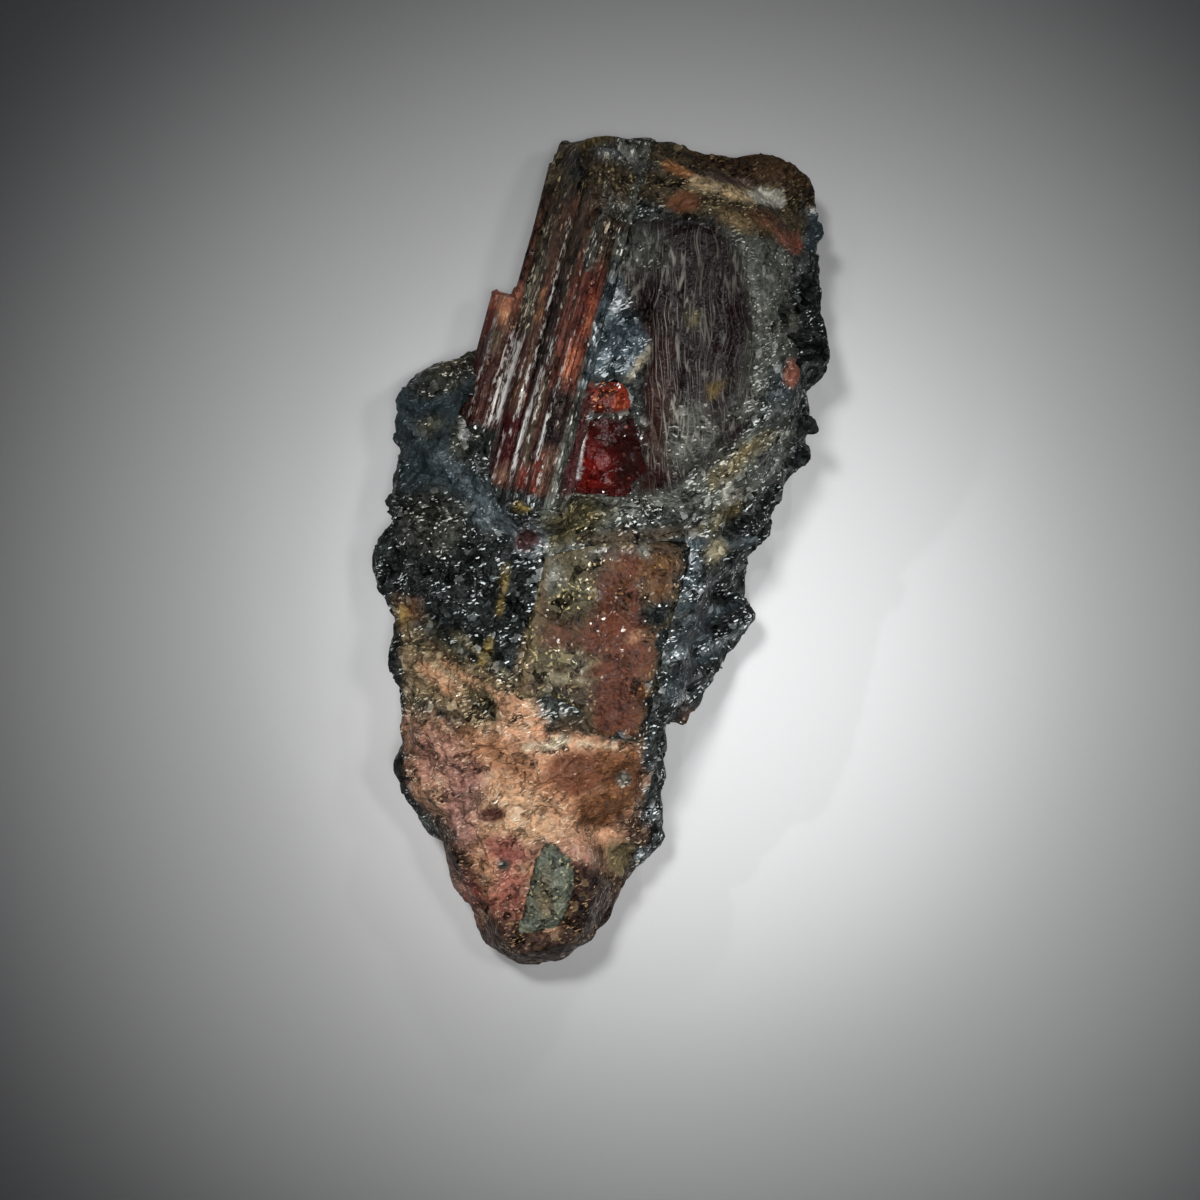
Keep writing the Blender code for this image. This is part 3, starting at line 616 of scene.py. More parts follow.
def lay_lined_zone(coat):
    """The plum plate with its threads, and the grey grit that both run into on the right."""
    p = coat.points
    inside = inside_outline(p, LINED_OUTLINE)
    coat.lay(inside, PLUM, 0.8, 0.6)
    coat.lay(inside_outline(p, [(13.4, 34.6), (20.6, 33), (20.6, 24), (18, 15), (14, 14), (15.4, 20),
                                (16.0, 26), (13.6, 30)]), GREY_GRIT, 1.4, 1.4, 0.9)
    coat.lay(inside_oval(p, 4.5, 31.8, 3.2, 2.6, 0), GREY_GRIT, 1.2, 1.4, 0.6)
    coat.lay(inside_oval(p, 9.6, 12.2, 3.4, 3.4, 0), GREY_GRIT, 1.4, 1.4, 0.75)
    coat.lay(inside_oval(p, 6.2, 15.6, 1.4, 6.5, -4), PLUM_WARM, 0.8, 0.8, 0.9)
    coat.lay(inside_oval(p, 10.4, 24.6, 1.4, 0.9, -10), OLIVE_GRIT, 0.6, 0.5, 0.9)
    coat.lay(inside_oval(p, 12.8, 18.4, 0.6, 1.7, -30), YELLOW_GRIT, 0.4, 0.4, 0.6)
    lens = inside_oval(p, 13.2, 24.6, 2.5, 7.4, 2)
    bundle = np.minimum(2.7 - np.abs(p[:, 0] - 7.8), np.minimum(p[:, 1] - 7, 33.5 - p[:, 1]))
    left_bundle = np.minimum(1.6 - np.abs(p[:, 0] - 2.2), np.minimum(p[:, 1] - 22, 34 - p[:, 1]))
    coat.lay(np.minimum(lens, inside), PLUM, 0.5, 0.6)
    coat.mark("lines", inside - 0.5 + drift(p, 2, 44) - 3 * (lens > 0.3), 1.4, 0.34)
    coat.mark("lines", np.minimum(inside, bundle) + drift(p, 2, 45) * 1.6 - 0.4, 1.4, 0.8)
    coat.mark("lines", np.minimum(inside, left_bundle) + drift(p, 3, 46) * 0.6, 0.8, 0.8)
    coat.mark("lines", np.minimum(inside, p[:, 0] - 15.6) + drift(p, 2, 47), 1.6, 0.35)


OLIVE_GRIT = finish_of((78, 74, 55), (200, 182, 130), 0.95, 0.42, 0.1, 0.35)
PLUM = finish_of((26, 14, 15), (90, 76, 72), 0.3, 0.04, 0.0, 0.2)
PLUM_WARM = finish_of((54, 31, 26), (124, 94, 76), 0.45, 0.12, 0.0, 0.22)

lined = fine_copy("lined_crystal", "lined_plate", face=0.25, grown=0.45)
points, normals = points_of(lined), normals_of(lined)
points -= normals * (0.12 + 0.12 * drift(points * (1, 0.25, 1), 0.9, 41))[:, None]
sink_rim(points, normals, width=0.8, depth=0.2)
set_points(lined, points)
coat = Coat(lined, PLUM)
lay_lined_zone(coat)
coat.lay(inside_outline(coat.points, TOP_OUTLINE), BROWN_BREAK, 0.9, 0.6)
coat.write()

place = new_material(lined, "plum rhodonite")
colour, metal, roughness, facing, _ = gritty_look(place, grain=0.8, flake=0.19, stretch=(0.55, 1.15, 1))
threads = silver_threads(place) * place.attribute("lines")
colour = colour.over(tone(156, 152, 142), threads)
surfaced(place, base_color=colour, metallic=metal, roughness=roughness, specular_ior_level=0.16,
         normal=place.bump(threads, 0.08, facing))
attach(lined, "root")
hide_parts("lined_crystal")


# ---------------------------------------------------------------------------------------------------
# The red crystal: the gem of the piece, deep blood-red rhodonite with a glassy skin. A bar of orange
# grains lies along its upper edge. Light through it is painted in as a brighter red at its lower left
# and a faint glow, and a crack at the edge of its left facet is painted with a white highlight.

# Painted highlight: a white that stands in for glints, on the gem's facet edge and on the ore.
PAINTED_GLINT_WHITE = finish_of((255, 255, 252), (255, 255, 255), 0.2, 0.7, 0.0, 0.2)
BLOOD = finish_of((58, 13, 10), (176, 84, 64), 0.7, 0.06, 0.0, 0.14)
BLOOD_DARK = finish_of((34, 13, 12), (120, 74, 62), 0.6, 0.08, 0.0, 0.16)
PAINTED_GLOW_RED = finish_of((90, 14, 10), (206, 100, 76), 0.7, 0.08, 0.0, 0.14)
ORANGE_BAR = finish_of((118, 46, 30), (226, 140, 88), 0.8, 0.35, 0.0, 0.22)
PLUM_FACET = finish_of((72, 40, 40), (150, 116, 106), 0.5, 0.14, 0.0, 0.25)

gem = fine_copy("red_crystal", "red_gem", face=0.2, grown=0.45)
points, normals = points_of(gem), normals_of(gem)
knock_chips(points, normals, count=90, reach=(0.8, 2.2), bite=0.05, tilt=0.2, seed=51,
            where=(normals[:, 2] > 0.6) & (edge_distance(points, normals) > 0.8))
sink_rim(points, normals, width=0.5, depth=0.15)
set_points(gem, points)
coat = Coat(gem, BLOOD)
p = coat.points
# Darker at its right, and at its lower left a brighter red that is painted light coming through.
coat.lay_all((
    ((3.4, 10.5, 1.6, 5, 0), BLOOD_DARK, 0.5, 1.0),
    ((-0.6, 8.6, 1.7, 2.2, 0), PAINTED_GLOW_RED, 0.5, 1.0),
))
coat.lay(np.minimum(p[:, 1] - 14.9, 3.2 - np.abs(p[:, 0] - 1.5)), ORANGE_BAR, 0.4, 0.4)
# A grey band under the bar, the plum facet on the left and a painted white highlight along its edge.
coat.lay_all((
    (([(-0.8, 14.2), (0.6, 14.4), (2.0, 14.3), (4.6, 15.2)], 0.3), GREY_GRIT, 0.3, 0.25),
    ([(-4, 5), (-2.5, 7.6), (-1.3, 15.4), (-0.6, 18), (-4, 18)], PLUM_FACET, 0.2, 0.25),
    (([(-2.4, 7.8), (-1.3, 14.4)], 0.13), PAINTED_GLINT_WHITE, 0.1, 0.15, 0.8),
))
coat.write()
place = new_material(gem, "red rhodonite")
colour, metal, roughness, facing, _ = gritty_look(place, grain=1.4, flake=0.3)
# A faint glow in the gem's own colour is painted in, for light passing through it.
surfaced(place, base_color=colour, metallic=metal, roughness=roughness, normal=facing,
         specular_ior_level=0.25, coat_weight=0.4, coat_roughness=0.05,
         emission_color=colour, emission_strength=0.05)
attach(gem, "root")
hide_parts("red_crystal")


# ---------------------------------------------------------------------------------------------------
# The brown crystal: a worn slab of rhodonite, satin, reddish down its middle. Its rims have rusted,
# and grey-green grit and cream streaks of the ore are grown into its left side.

BLACK_GALENA = finish_of((33, 37, 36), (232, 242, 242), 0.95, 0.28, 0.3, 0.26)
UMBER_BREAK = finish_of((70, 52, 36), (140, 114, 82), 0.8, 0.3, 0.05, 0.4)
STRAW = finish_of((142, 133, 106), (232, 226, 196), 1.0, 0.5, 0.0, 0.4)
SALMON_LENS = finish_of((190, 146, 112), (234, 204, 170), 0.5, 0.4, 0.0, 0.45)
DARK_LENS = finish_of((46, 50, 48), (190, 196, 186), 0.8, 0.4, 0.3, 0.4)
SUGAR_ORANGE = finish_of((150, 104, 74), (220, 178, 140), 0.75, 0.45, 0.0, 0.36)
SLAB_RED = finish_of((84, 48, 34), (136, 98, 72), 0.7, 0.2, 0.0, 0.38)
SLAB_BROWN = finish_of((70, 57, 43), (150, 128, 98), 0.95, 0.35, 0.0, 0.4)
SLAB_RUST = finish_of((84, 57, 37), (164, 120, 70), 1.0, 0.4, 0.0, 0.38)
SLAB_RIM = finish_of((112, 92, 68), (180, 158, 124), 0.8, 0.3, 0.0, 0.5)

slab = fine_copy("brown_crystal", "brown_slab", face=0.24, grown=0.45)
points, normals = points_of(slab), normals_of(slab)
points -= normals * (0.1 + 0.1 * drift(points, 2.2, 61) + 0.06 * drift(points, 0.6, 62))[:, None]
edge = sink_rim(points, normals, width=0.8, depth=0.25)
set_points(slab, points)
coat = Coat(slab, SLAB_BROWN)
p = coat.points
coat.lay_all((
    ([(0, 0.6), (4.4, 0.8), (4.2, -6), (6.2, -12), (4.6, -20), (-0.6, -20), (-0.8, -12), (-2.4, -9.4),
     (-0.4, -6)], SLAB_RED, 0.6, 0.8),
    ((6.2, -2.4, 1.9, 3.0, 0), SLAB_RUST, 0.8, 0.8, 0.85),
    ((2.4, -4.4, 0.6, 2.6, 0), SLAB_RUST, 0.7, 0.7, 0.7),
    ((6.4, -10.2, 1.3, 2.2, 0), SLAB_RUST, 0.5, 0.6, 0.6),
    ((5.0, -16.2, 1.2, 3.6, 0), SLAB_RUST, 0.7, 0.7, 0.75),
    ((-2.9, -4.6, 2.6, 2.2, 20), OLIVE_GRIT, 1.0, 0.8, 0.9),
    ((-2.4, -1.4, 3.4, 0.9, 0), OLIVE_GRIT, 0.8, 0.7, 0.8),
    ((-4.4, -9.0, 2.0, 1.6, 0), SLAB_RED, 0.7, 0.8, 0.6),
    ((-4.6, -11.4, 3.4, 1.0, 4), OLIVE_GRIT, 0.8, 0.5, 0.8),
    ((-4.4, -13.4, 2.8, 0.35, -6), STRAW, 0.7, 0.4, 0.7),
    ((-6.4, -17.4, 1.0, 1.6, 0), SUGAR_ORANGE, 0.6, 0.5, 0.9),
    ((-1.6, -12.2, 1.2, 0.3, 24), STRAW, 0.5, 0.4, 0.7),
    ((-4.4, -16.2, 3.0, 1.6, -14), DARK_LENS, 0.8, 0.6, 0.9),
    ((-3.6, -17.8, 2.6, 0.8, -24), UMBER_BREAK, 0.8, 0.6, 0.8),
    (([(-5.6, -0.6), (-7.6, -9), (-8.8, -15.6)], 0.5), SLAB_RIM, 0.4, 0.4, 0.8),
    (([(-8, -15.0), (-6, -18.6), (-1, -20)], 0.9), SLAB_RIM, 0.8, 0.6, 0.7),
    ((3.8, -9.1, 0.9, 0.4, 20), SALMON_LENS, 0.4, 0.4, 0.5),
    ((7.2, -6.4, 2.3, 1.2, 10), BLACK_GALENA, 0.7, 0.4),
    ((4.7, 0.4, 0.8, 1.0, 0), GREY_GRIT, 0.5, 0.4, 0.9),
    ((-1.0, 0.4, 3.6, 1.2, -4), GREY_GRIT, 0.9, 0.6, 0.8),
    ((-5.4, -2.4, 1.6, 2.0, 0), GREY_GRIT, 0.9, 0.6, 0.7),
))
coat.lay(0.5 - edge, SLAB_BROWN, 0.7, 0.6, 0.8)
coat.lay(np.where(p[:, 0] > 0, 0.2, 0.7) - edge, OLIVE_GRIT, 0.9, 0.6, 0.6)
coat.lay(np.where(p[:, 0] > 1, 0.25 - edge, -9), BLACK_GALENA, 2.2, 0.4)
coat.write()
place = new_material(slab, "brown rhodonite")
colour, metal, roughness, facing, flaked = gritty_look(place, grain=1.0, flake=0.26)
surfaced(place, base_color=colour, metallic=metal, roughness=roughness, normal=facing,
         specular_ior_level=0.16, coat_weight=flaked * 0.6, coat_roughness=0.12)
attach(slab, "root")
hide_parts("brown_crystal")


# ---------------------------------------------------------------------------------------------------
# The green wedge: a fine-grained grey-green silicate grown into the pink near the tip, dull and
# speckled with ochre.


def cleave(points, normals, size, rise, tilt, where, seed):
    """Splits the skin into grains of this size (mm). Each is a flat of its own height and slope."""
    dice = np.random.default_rng(seed)
    low, high = points.min(axis=0) - size, points.max(axis=0) + size
    seeds = dice.uniform(low, high, (int(np.prod(high - low) / size**3), 3))
    heights, slopes = dice.uniform(-1, 0.4, len(seeds)), dice.normal(0, tilt, (len(seeds), 3))
    tree = tree_of(seeds)
    spots = np.flatnonzero(where > 0)
    which = np.array([tree.find(point)[1] for point in points[spots]])
    lift = rise * heights[which] + ((points[spots] - seeds[which]) * slopes[which]).sum(axis=1)
    points[spots] += normals[spots] * (np.clip(lift, -3 * rise, 2 * rise) * where[spots])[:, None]


WEDGE_GREEN = finish_of((100, 106, 92), (176, 172, 136), 0.9, 0.4, 0.0, 0.45)
WEDGE_OCHRE = finish_of((132, 106, 72), (190, 166, 110), 0.7, 0.35, 0.0, 0.4)

wedge = fine_copy("green_wedge", "green_wedge_grain", face=0.22, grown=0.45)
points, normals = points_of(wedge), normals_of(wedge)
cleave(points, normals, size=0.9, rise=0.1, tilt=0.15, where=np.clip(normals[:, 2], 0, 1), seed=71)
sink_rim(points, normals, width=0.8, depth=0.25)
set_points(wedge, points)
coat = Coat(wedge, WEDGE_GREEN)
coat.lay(inside_oval(coat.points, -6.0, -36.6, 0.8, 2.0, 0), WEDGE_OCHRE, 0.7, 0.7, 0.7)
coat.write()
place = new_material(wedge, "green silicate")
colour, metal, roughness, facing, _ = gritty_look(place, grain=0.9, flake=0.28)
surfaced(place, base_color=colour, metallic=metal, roughness=roughness, normal=facing)
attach(wedge, "root")
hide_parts("green_wedge")


# ---------------------------------------------------------------------------------------------------
# The rock. It is galena ore, grown in cubes that break into small flat steps, mixed with grey-green
# silicate grit. It runs into sugary pink rhodonite at the tip and a weathered brown break at the top.
# The piece is the solid's skin in finer faces, with the small chips knocked off it one by one.

ROCK_FACE = 0.58  # mm, on the sides and the back; the side that shows the crystals has half of it
SHOWN_SIDE = 0.25  # how far up a face points to be cut in four
CRYSTAL_LAP = 0.12  # mm, how far over or under a crystal's rim the rock may end
# Where the sugary pink end of the rock lies.
PINK_OUTLINE = [(-24, -17.2), (-18.8, -18.6), (-15.0, -19.8), (-11.8, -19.2), (-10.4, -16.8), (-8.4, -15.6),
                (-6.6, -16.4), (-5.4, -19.6), (4.3, -20.8), (4.6, -29), (2.0, -34.5),
                (3.4, -38), (1, -48), (-20, -48), (-24, -30)]


def smooth(piece, points, weight, rounds, spikes=0.0):
    """Evens the skin out by this weight (0 to 1 for each point), this many times. It moves only the
    points that stand out from the ones beside them by more than spikes mm."""
    ends = np.empty(len(piece.data.edges) * 2, np.int32)
    piece.data.edges.foreach_get("vertices", ends)
    first, second = ends.reshape(-1, 2).T
    count = np.bincount(ends, minlength=len(points))
    for _ in range(rounds):
        total = np.zeros_like(points)
        for axis in range(3):
            total[:, axis] = np.bincount(first, points[second, axis], len(points))
            total[:, axis] += np.bincount(second, points[first, axis], len(points))
        move = total / count[:, None] - points
        points += move * (weight * (np.linalg.norm(move, axis=1) > spikes))[:, None]


def cleavage_axes(count, seed):
    """Where each grain of galena is, and the three directions that it breaks along."""
    dice = np.random.default_rng(seed)
    middles = dice.uniform(np.array(cad_low) / MM, np.array(cad_high) / MM, (count, 3))
    turns = [Euler(dice.uniform(0, math.pi, 3)).to_matrix() for _ in range(count)]
    return tree_of(middles), [np.array(turn) for turn in turns]


def rounded_grains(points, normals, size, rise, where, seed):
    """Raises the skin into packed rounded grains of this size, each at its own height."""
    dice = np.random.default_rng(seed)
    spots = np.flatnonzero(where)
    count = int(len(spots) * 0.12 / size**2)
    seeds = points[dice.choice(spots, count)]
    heights = dice.uniform(0.2, 1.0, count)
    tree = tree_of(seeds)
    found = [tree.find(point) for point in points[spots]]
    away = np.array([distance for _, _, distance in found]) / size
    height = heights[[index for _, index, _ in found]]
    sunk = rise * (1 - height + np.minimum(away, 1) ** 2)
    points[spots] -= normals[spots] * (sunk * where[spots])[:, None]


def level_with(points, normals, piece, allowed, reach=3.6, slope=0.35, curve=0.0):
    """Brings the rock round a crystal to the height of the crystal's upper face."""
    crystal, facing = points_of(piece), normals_of(piece)
    from_side = edge_distance(crystal, facing)[facing[:, 2] > 0.3]
    top = crystal[facing[:, 2] > 0.3]
    tree = tree_of(top * (1, 1, 0))
    ring = [(math.cos(turn) * 1.1, math.sin(turn) * 1.1, 0) for turn in np.arange(0, 6.2, 0.7)]
    for spot in np.flatnonzero((allowed > 0) & (normals[:, 2] > -0.3) & (points[:, 2] > 9)):
        x, y, height = points[spot]
        _, index, away = tree.find((x, y, 0))
        if away > reach or away < 0.2 and from_side[index] > 0.5:
            continue
        if away < 0.2:
            least = most = top[index, 2] - 0.05
        else:
            level = max(top[tree.find(top[index] * (1, 1, 0) + step)[1], 2] for step in ring)
            spare = CRYSTAL_LAP + slope * (away - 0.2) + curve * away * away
            least, most = level - spare, level + spare
        wanted = min(max(height, least), most)
        if abs(wanted - height) < 9:
            points[spot, 2] += (wanted - height) * allowed[spot] * min((reach - away) / 1.5, 1)


NAVY_GALENA = finish_of((51, 60, 64), (142, 158, 168), 0.5, 0.12, 0.2, 0.3)
BEIGE_VEIN = finish_of((204, 178, 136), (236, 218, 184), 0.7, 0.45, 0.0, 0.45)
ORANGE_VEIN = finish_of((168, 116, 78), (222, 176, 130), 0.6, 0.35, 0.0, 0.5)
CREAM_VEIN = finish_of((196, 184, 156), (242, 234, 210), 0.8, 0.45, 0.0, 0.4)
PALE_QUARTZ = finish_of((216, 213, 198), (250, 248, 240), 0.35, 0.25, 0.0, 0.32)
MAUVE_STONE = finish_of((112, 92, 84), (160, 138, 126), 0.4, 0.2, 0.0, 0.5)
TAN_STONE = finish_of((118, 98, 70), (176, 156, 118), 0.5, 0.3, 0.0, 0.5)
BROWN_STONE = finish_of((116, 78, 56), (168, 124, 92), 0.35, 0.2, 0.0, 0.45)
TAN_BAND = finish_of((108, 92, 70), (226, 206, 168), 1.0, 0.5, 0.05, 0.4)
DARK_GRIT = finish_of((56, 57, 51), (226, 226, 212), 0.95, 0.28, 0.1, 0.3)
BLUE_SCRAPE = finish_of((90, 100, 104), (176, 188, 194), 0.8, 0.3, 0.1, 0.35)
SUGAR_PINK = finish_of((178, 134, 104), (238, 206, 174), 0.75, 0.5, 0.0, 0.36)
SUGAR_CREAM = finish_of((198, 162, 126), (246, 226, 198), 0.7, 0.55, 0.0, 0.36)
SUGAR_ROSE = finish_of((152, 112, 102), (220, 184, 166), 0.6, 0.38, 0.0, 0.36)
MAUVE_SIDE = finish_of((122, 98, 90), (188, 160, 140), 0.6, 0.3, 0.0, 0.45)
CRIMSON = finish_of((132, 68, 64), (218, 152, 134), 0.8, 0.4, 0.0, 0.34)
BROWN_GRAIN = finish_of((118, 76, 56), (170, 122, 92), 0.4, 0.2, 0.0, 0.3)
RUST_GRAIN = finish_of((106, 70, 47), (176, 128, 84), 0.8, 0.3, 0.0, 0.34)
DARK_SUGAR = finish_of((80, 60, 50), (206, 176, 138), 1.0, 0.5, 0.0, 0.36)
TIP_DARK = finish_of((56, 41, 36), (196, 160, 116), 1.0, 0.38, 0.05, 0.32)
TIP_CRIMSON = finish_of((96, 44, 42), (196, 130, 110), 0.7, 0.4, 0.0, 0.32)
OLIVE_STONE = finish_of((104, 92, 66), (172, 152, 106), 0.7, 0.35, 0.0, 0.45)
GARNET = finish_of((66, 32, 32), (150, 110, 104), 0.6, 0.2, 0.0, 0.3)

rock = fine_copy("galena_matrix", "galena_rock", face=ROCK_FACE, grown=0.2)
cut_finer(rock, faces_up=SHOWN_SIDE)
points, normals = points_of(rock), normals_of(rock)

# The hard ore breaks along its cleavage, and the sugary pink and the weathered top anyhow.
in_pink = inside_outline(points, PINK_OUTLINE)
sugary = np.clip((in_pink + drift(points, 3, 5)) / 1.5 + 0.5, 0, 1)
broken_top = np.clip(inside_outline(points, TOP_OUTLINE) / 1.5 + 0.5, 0, 1)
grain_axes = cleavage_axes(count=70, seed=11)
in_lined = inside_outline(points, LINED_OUTLINE)
hard = (sugary < 0.5) & (broken_top < 0.5) & (in_lined < -0.3)
knock_chips(points, normals, count=900, reach=(1.4, 3.0), bite=0.06, tilt=0.4, seed=21,
            grains=grain_axes, where=hard)
knock_chips(points, normals, count=260, reach=(0.8, 2.2), bite=0.04, tilt=0.3, seed=23,
            where=~hard & (in_lined < 0))
shown = np.clip(normals[:, 2] * 4, 0.25, 1)  # less is done on the sides and the back
cleave(points, normals, size=2.3, rise=0.2, tilt=0.2, where=hard * shown, seed=25)

# The rock is brought level with the crystals. At the blades that is only on their right and under
# their foot, because their left side stands free.
beside_blades = np.clip((points[:, 0] - 0.27 * (points[:, 1] - 22) + 7.5 - (points[:, 1] > 8) * 6) / 2, 0, 1)
everywhere = np.ones(len(points))
before = points[:, 2].copy()
level_with(points, normals, slab, everywhere)
level_with(points, normals, wedge, everywhere)
level_with(points, normals, lined, everywhere, reach=6.5, curve=0.1)
level_with(points, normals, gem, everywhere, reach=2.0)
level_with(points, normals, blades, beside_blades, reach=3.0, slope=0.8)
level_with(points, normals, blades, broken_top, reach=6.0, slope=0.3)
smooth(rock, points, weight=np.clip(np.abs(points[:, 2] - before) * 2, 0, 0.6), rounds=5)

# Fine steps in the ore and packed grains in the pink, with no spikes left.
cleave(points, normals, size=1.0, rise=0.1, tilt=0.22,
       where=np.where(in_lined > 0, 0.1, 1 - sugary * 0.9) * shown, seed=26)
rounded_grains(points, normals, size=0.7, rise=0.07, where=sugary, seed=24)
smooth(rock, points, weight=np.full(len(points), 0.8), rounds=3, spikes=0.33)

# Rock that would lie just under the skin of the blades comes out over it.
tree = tree_of(points_of(blades))
for spot in np.flatnonzero((normals[:, 2] < 0.6) & (points[:, 0] < 12) & (points[:, 1] > 2)):
    nearest, _, away = tree.find(points[spot])
    toward = np.array(nearest) - points[spot]
    if 0.03 < away < 0.9 and toward @ normals[spot] > 0.5 * away:
        points[spot] += toward + 0.12 * normals[spot]
set_points(rock, points)

coat = Coat(rock, GALENA)
p = coat.points

# The greys of the ore, from the left shoulder round to the right flank.
coat.lay_all((
    ([(8, -18), (5, -42), (20, -30), (26, 0), (26, 34), (20.5, 30), (21, 12), (12, 0)],
     BLACK_GALENA, 1.5, 1.0),
    ([(-25, 19), (-13.6, 18.3), (-13.8, 14.2), (-11.4, 4.9), (-14.8, 5.6), (-25, 6)],
     NAVY_GALENA, 1.0, 0.8),
    ([(-25, 6), (-16, 6.2), (-15, 1.4), (-9, 1), (-6, -5), (-9, -13.5), (-25, -4)],
     BLACK_GALENA, 0.8, 0.8),
    ((-17.0, 19.4, 3.6, 2.0, 25), DARK_GRIT, 0.9, 0.6),
    ((-13.7, 11.8, 2.6, 3.2, 0), DARK_GRIT, 0.9, 0.6),
    ((-18.3, 2.9, 4.2, 3.6, 0), DARK_GRIT, 1.2, 0.8, 0.9),
    (([(-17.3, 10.4), (-14.6, 7.4), (-11.4, 4.4), (-9.6, 2.6)], 0.7), BLUE_SCRAPE, 0.9, 0.5, 0.9),
    ((-12, 3.6, 3.0, 1.5, -20), BLUE_SCRAPE, 0.9, 0.6),
    ((-12.4, 10.2, 2.6, 1.9, -35), GALENA, 0.8, 0.5),
    ((-17, 20.2, 3.4, 0.9, 16), OLIVE_GRIT, 0.8, 0.6, 0.5),
    ((-18.2, 13.6, 1.2, 0.8, 30), OLIVE_GRIT, 0.6, 0.6, 0.6),
    ([(-6.5, 5.8), (7.3, 6.7), (11.4, 8.8), (15.6, 12.5), (21.5, 13.5), (19.6, 8.2), (13.3, 3.4),
     (10.3, 0.6), (-2.8, 0), (-5, -5), (-6.7, -4.7), (-5.8, -0.4)], GREY_GRIT, 1.2, 0.8, 0.85),
    ((-2.4, 3.2, 3.6, 2.2, 30), OLIVE_GRIT, 1.0, 0.8),
    ((6.6, 2.8, 4.2, 1.1, 5), GALENA, 1.0, 0.8),
    ((3.0, 1.3, 4.6, 0.9, 4), SLAB_BROWN, 0.9, 0.6, 0.9),
    ((15.4, 10.4, 3.6, 1.0, 34), YELLOW_GRIT, 1.1, 0.7, 0.5),
    ((13.2, 4.1, 2.8, 0.9, 42), YELLOW_GRIT, 1.1, 0.7, 0.45),
    ((13.8, 6.4, 0.9, 1.3, 20), PALE_QUARTZ, 1.1, 0.4, 0.45),
    ([(15.5, 33), (20.2, 32), (20.9, 27.1), (20.6, 20.6), (19.6, 14.2), (15.5, 12), (17.4, 16.8),
     (16.4, 25)], GREY_GRIT, 1.0, 0.8, 0.9),
))
coat.lay(np.minimum(p[:, 0] - 21.0 + 0.25 * (p[:, 1] < 20), 31 - p[:, 1]), BLACK_GALENA, 0.8, 0.8, 0.9)
coat.lay_all((
    ((18.2, 17.0, 3.0, 1.8, 55), BLUE_GALENA, 1.0, 0.8),
    ((17.6, 31.2, 1.0, 0.8, 0), BLUE_GALENA, 0.4, 0.4),
    ((20.6, 24.6, 1.4, 0.7, 90), OLIVE_GRIT, 0.6, 0.5, 0.7),
    ((20.55, 19.0, 1.15, 1.45, 0), SALMON_STONE, 0.35, 0.3),
    ((22.6, 35.4, 2.4, 3.2, 0, 12), NAVY_GALENA, 0.8, 0.6),
    ((22.4, 37.0, 1.4, 0.9, 10, 12), SILVER_GALENA_AND_GLINT, 0.6, 0.5),
    ([(-0.9, 24.9), (1.3, 29), (2.4, 25.4), (5.6, 23), (4.7, 20.4), (3, 18.9), (-2.1, 18.6),
     (-1.1, 21.1)], BLUE_GALENA, 0.5, 0.4),
    ((1.0, 26.3, 2.6, 1.1, 74), SILVER_GALENA_AND_GLINT, 0.5, 0.4),
    ((4.2, 19.9, 1.6, 0.5, 52), CREAM_VEIN, 0.5, 0.3, 0.7),
    ((-0.9, 16.4, 1.3, 1.3, 0), ORANGE_BAR, 0.5, 0.4, 0.9),
    ([(-4.4, 5.6), (-2.2, 6.2), (-0.9, 17.0), (-2.4, 17.8), (-3.6, 12)], PLUM_FACET, 0.4, 0.3),
    ((-2.9, -17.0, 3.4, 2.4, -20), DARK_LENS, 0.9, 0.6, 0.9),
    ((-2.2, -18.8, 2.6, 1.2, -14), WINE_OLIVE, 0.8, 0.6, 0.9),
    ([(7.3, 1.3), (11.6, 1.6), (11.2, -0.6), (9.7, -3.7), (7.7, -5.2)], BLUE_GALENA, 0.7, 0.5, 0.7),
    ((8.9, -0.6, 1.9, 1.2, 80), SILVER_GALENA_AND_GLINT, 0.8, 0.5, 0.3),
    ((12.2, 0.2, 1.5, 1.1, 60), STRAW, 1.2, 0.5, 0.8),
    ((10.6, -8.8, 3.4, 1.2, 24), NAVY_GALENA, 0.6, 0.5, 0.8),
    ((8.6, -10.9, 1.4, 0.5, 24), SILVER_GALENA_AND_GLINT, 0.4, 0.4),
    ((9.2, -13.9, 2.6, 1.3, 14), NAVY_GALENA, 0.6, 0.5, 0.8),
))

# Scraped plates of bare galena down the right flank; the silver ones are painted bright as glints.
dice = np.random.default_rng(92)
for finish in (NAVY_GALENA, BLUE_GALENA, BLUE_SCRAPE, SILVER_GALENA_AND_GLINT) * 5:
    low = dice.uniform(0, 1)
    x, y = 8.6 + 8.5 * dice.uniform(0, 1) * (0.3 + 0.7 * low), -21 + 25 * low
    wide = 0.16 if finish is SILVER_GALENA_AND_GLINT else dice.uniform(0.3, 0.6)
    long, lean = dice.uniform(1.0, 2.2), dice.uniform(14, 34)
    coat.lay(inside_oval(p, x, y, long, wide, lean), finish, 0.3, 0.25, 0.85)

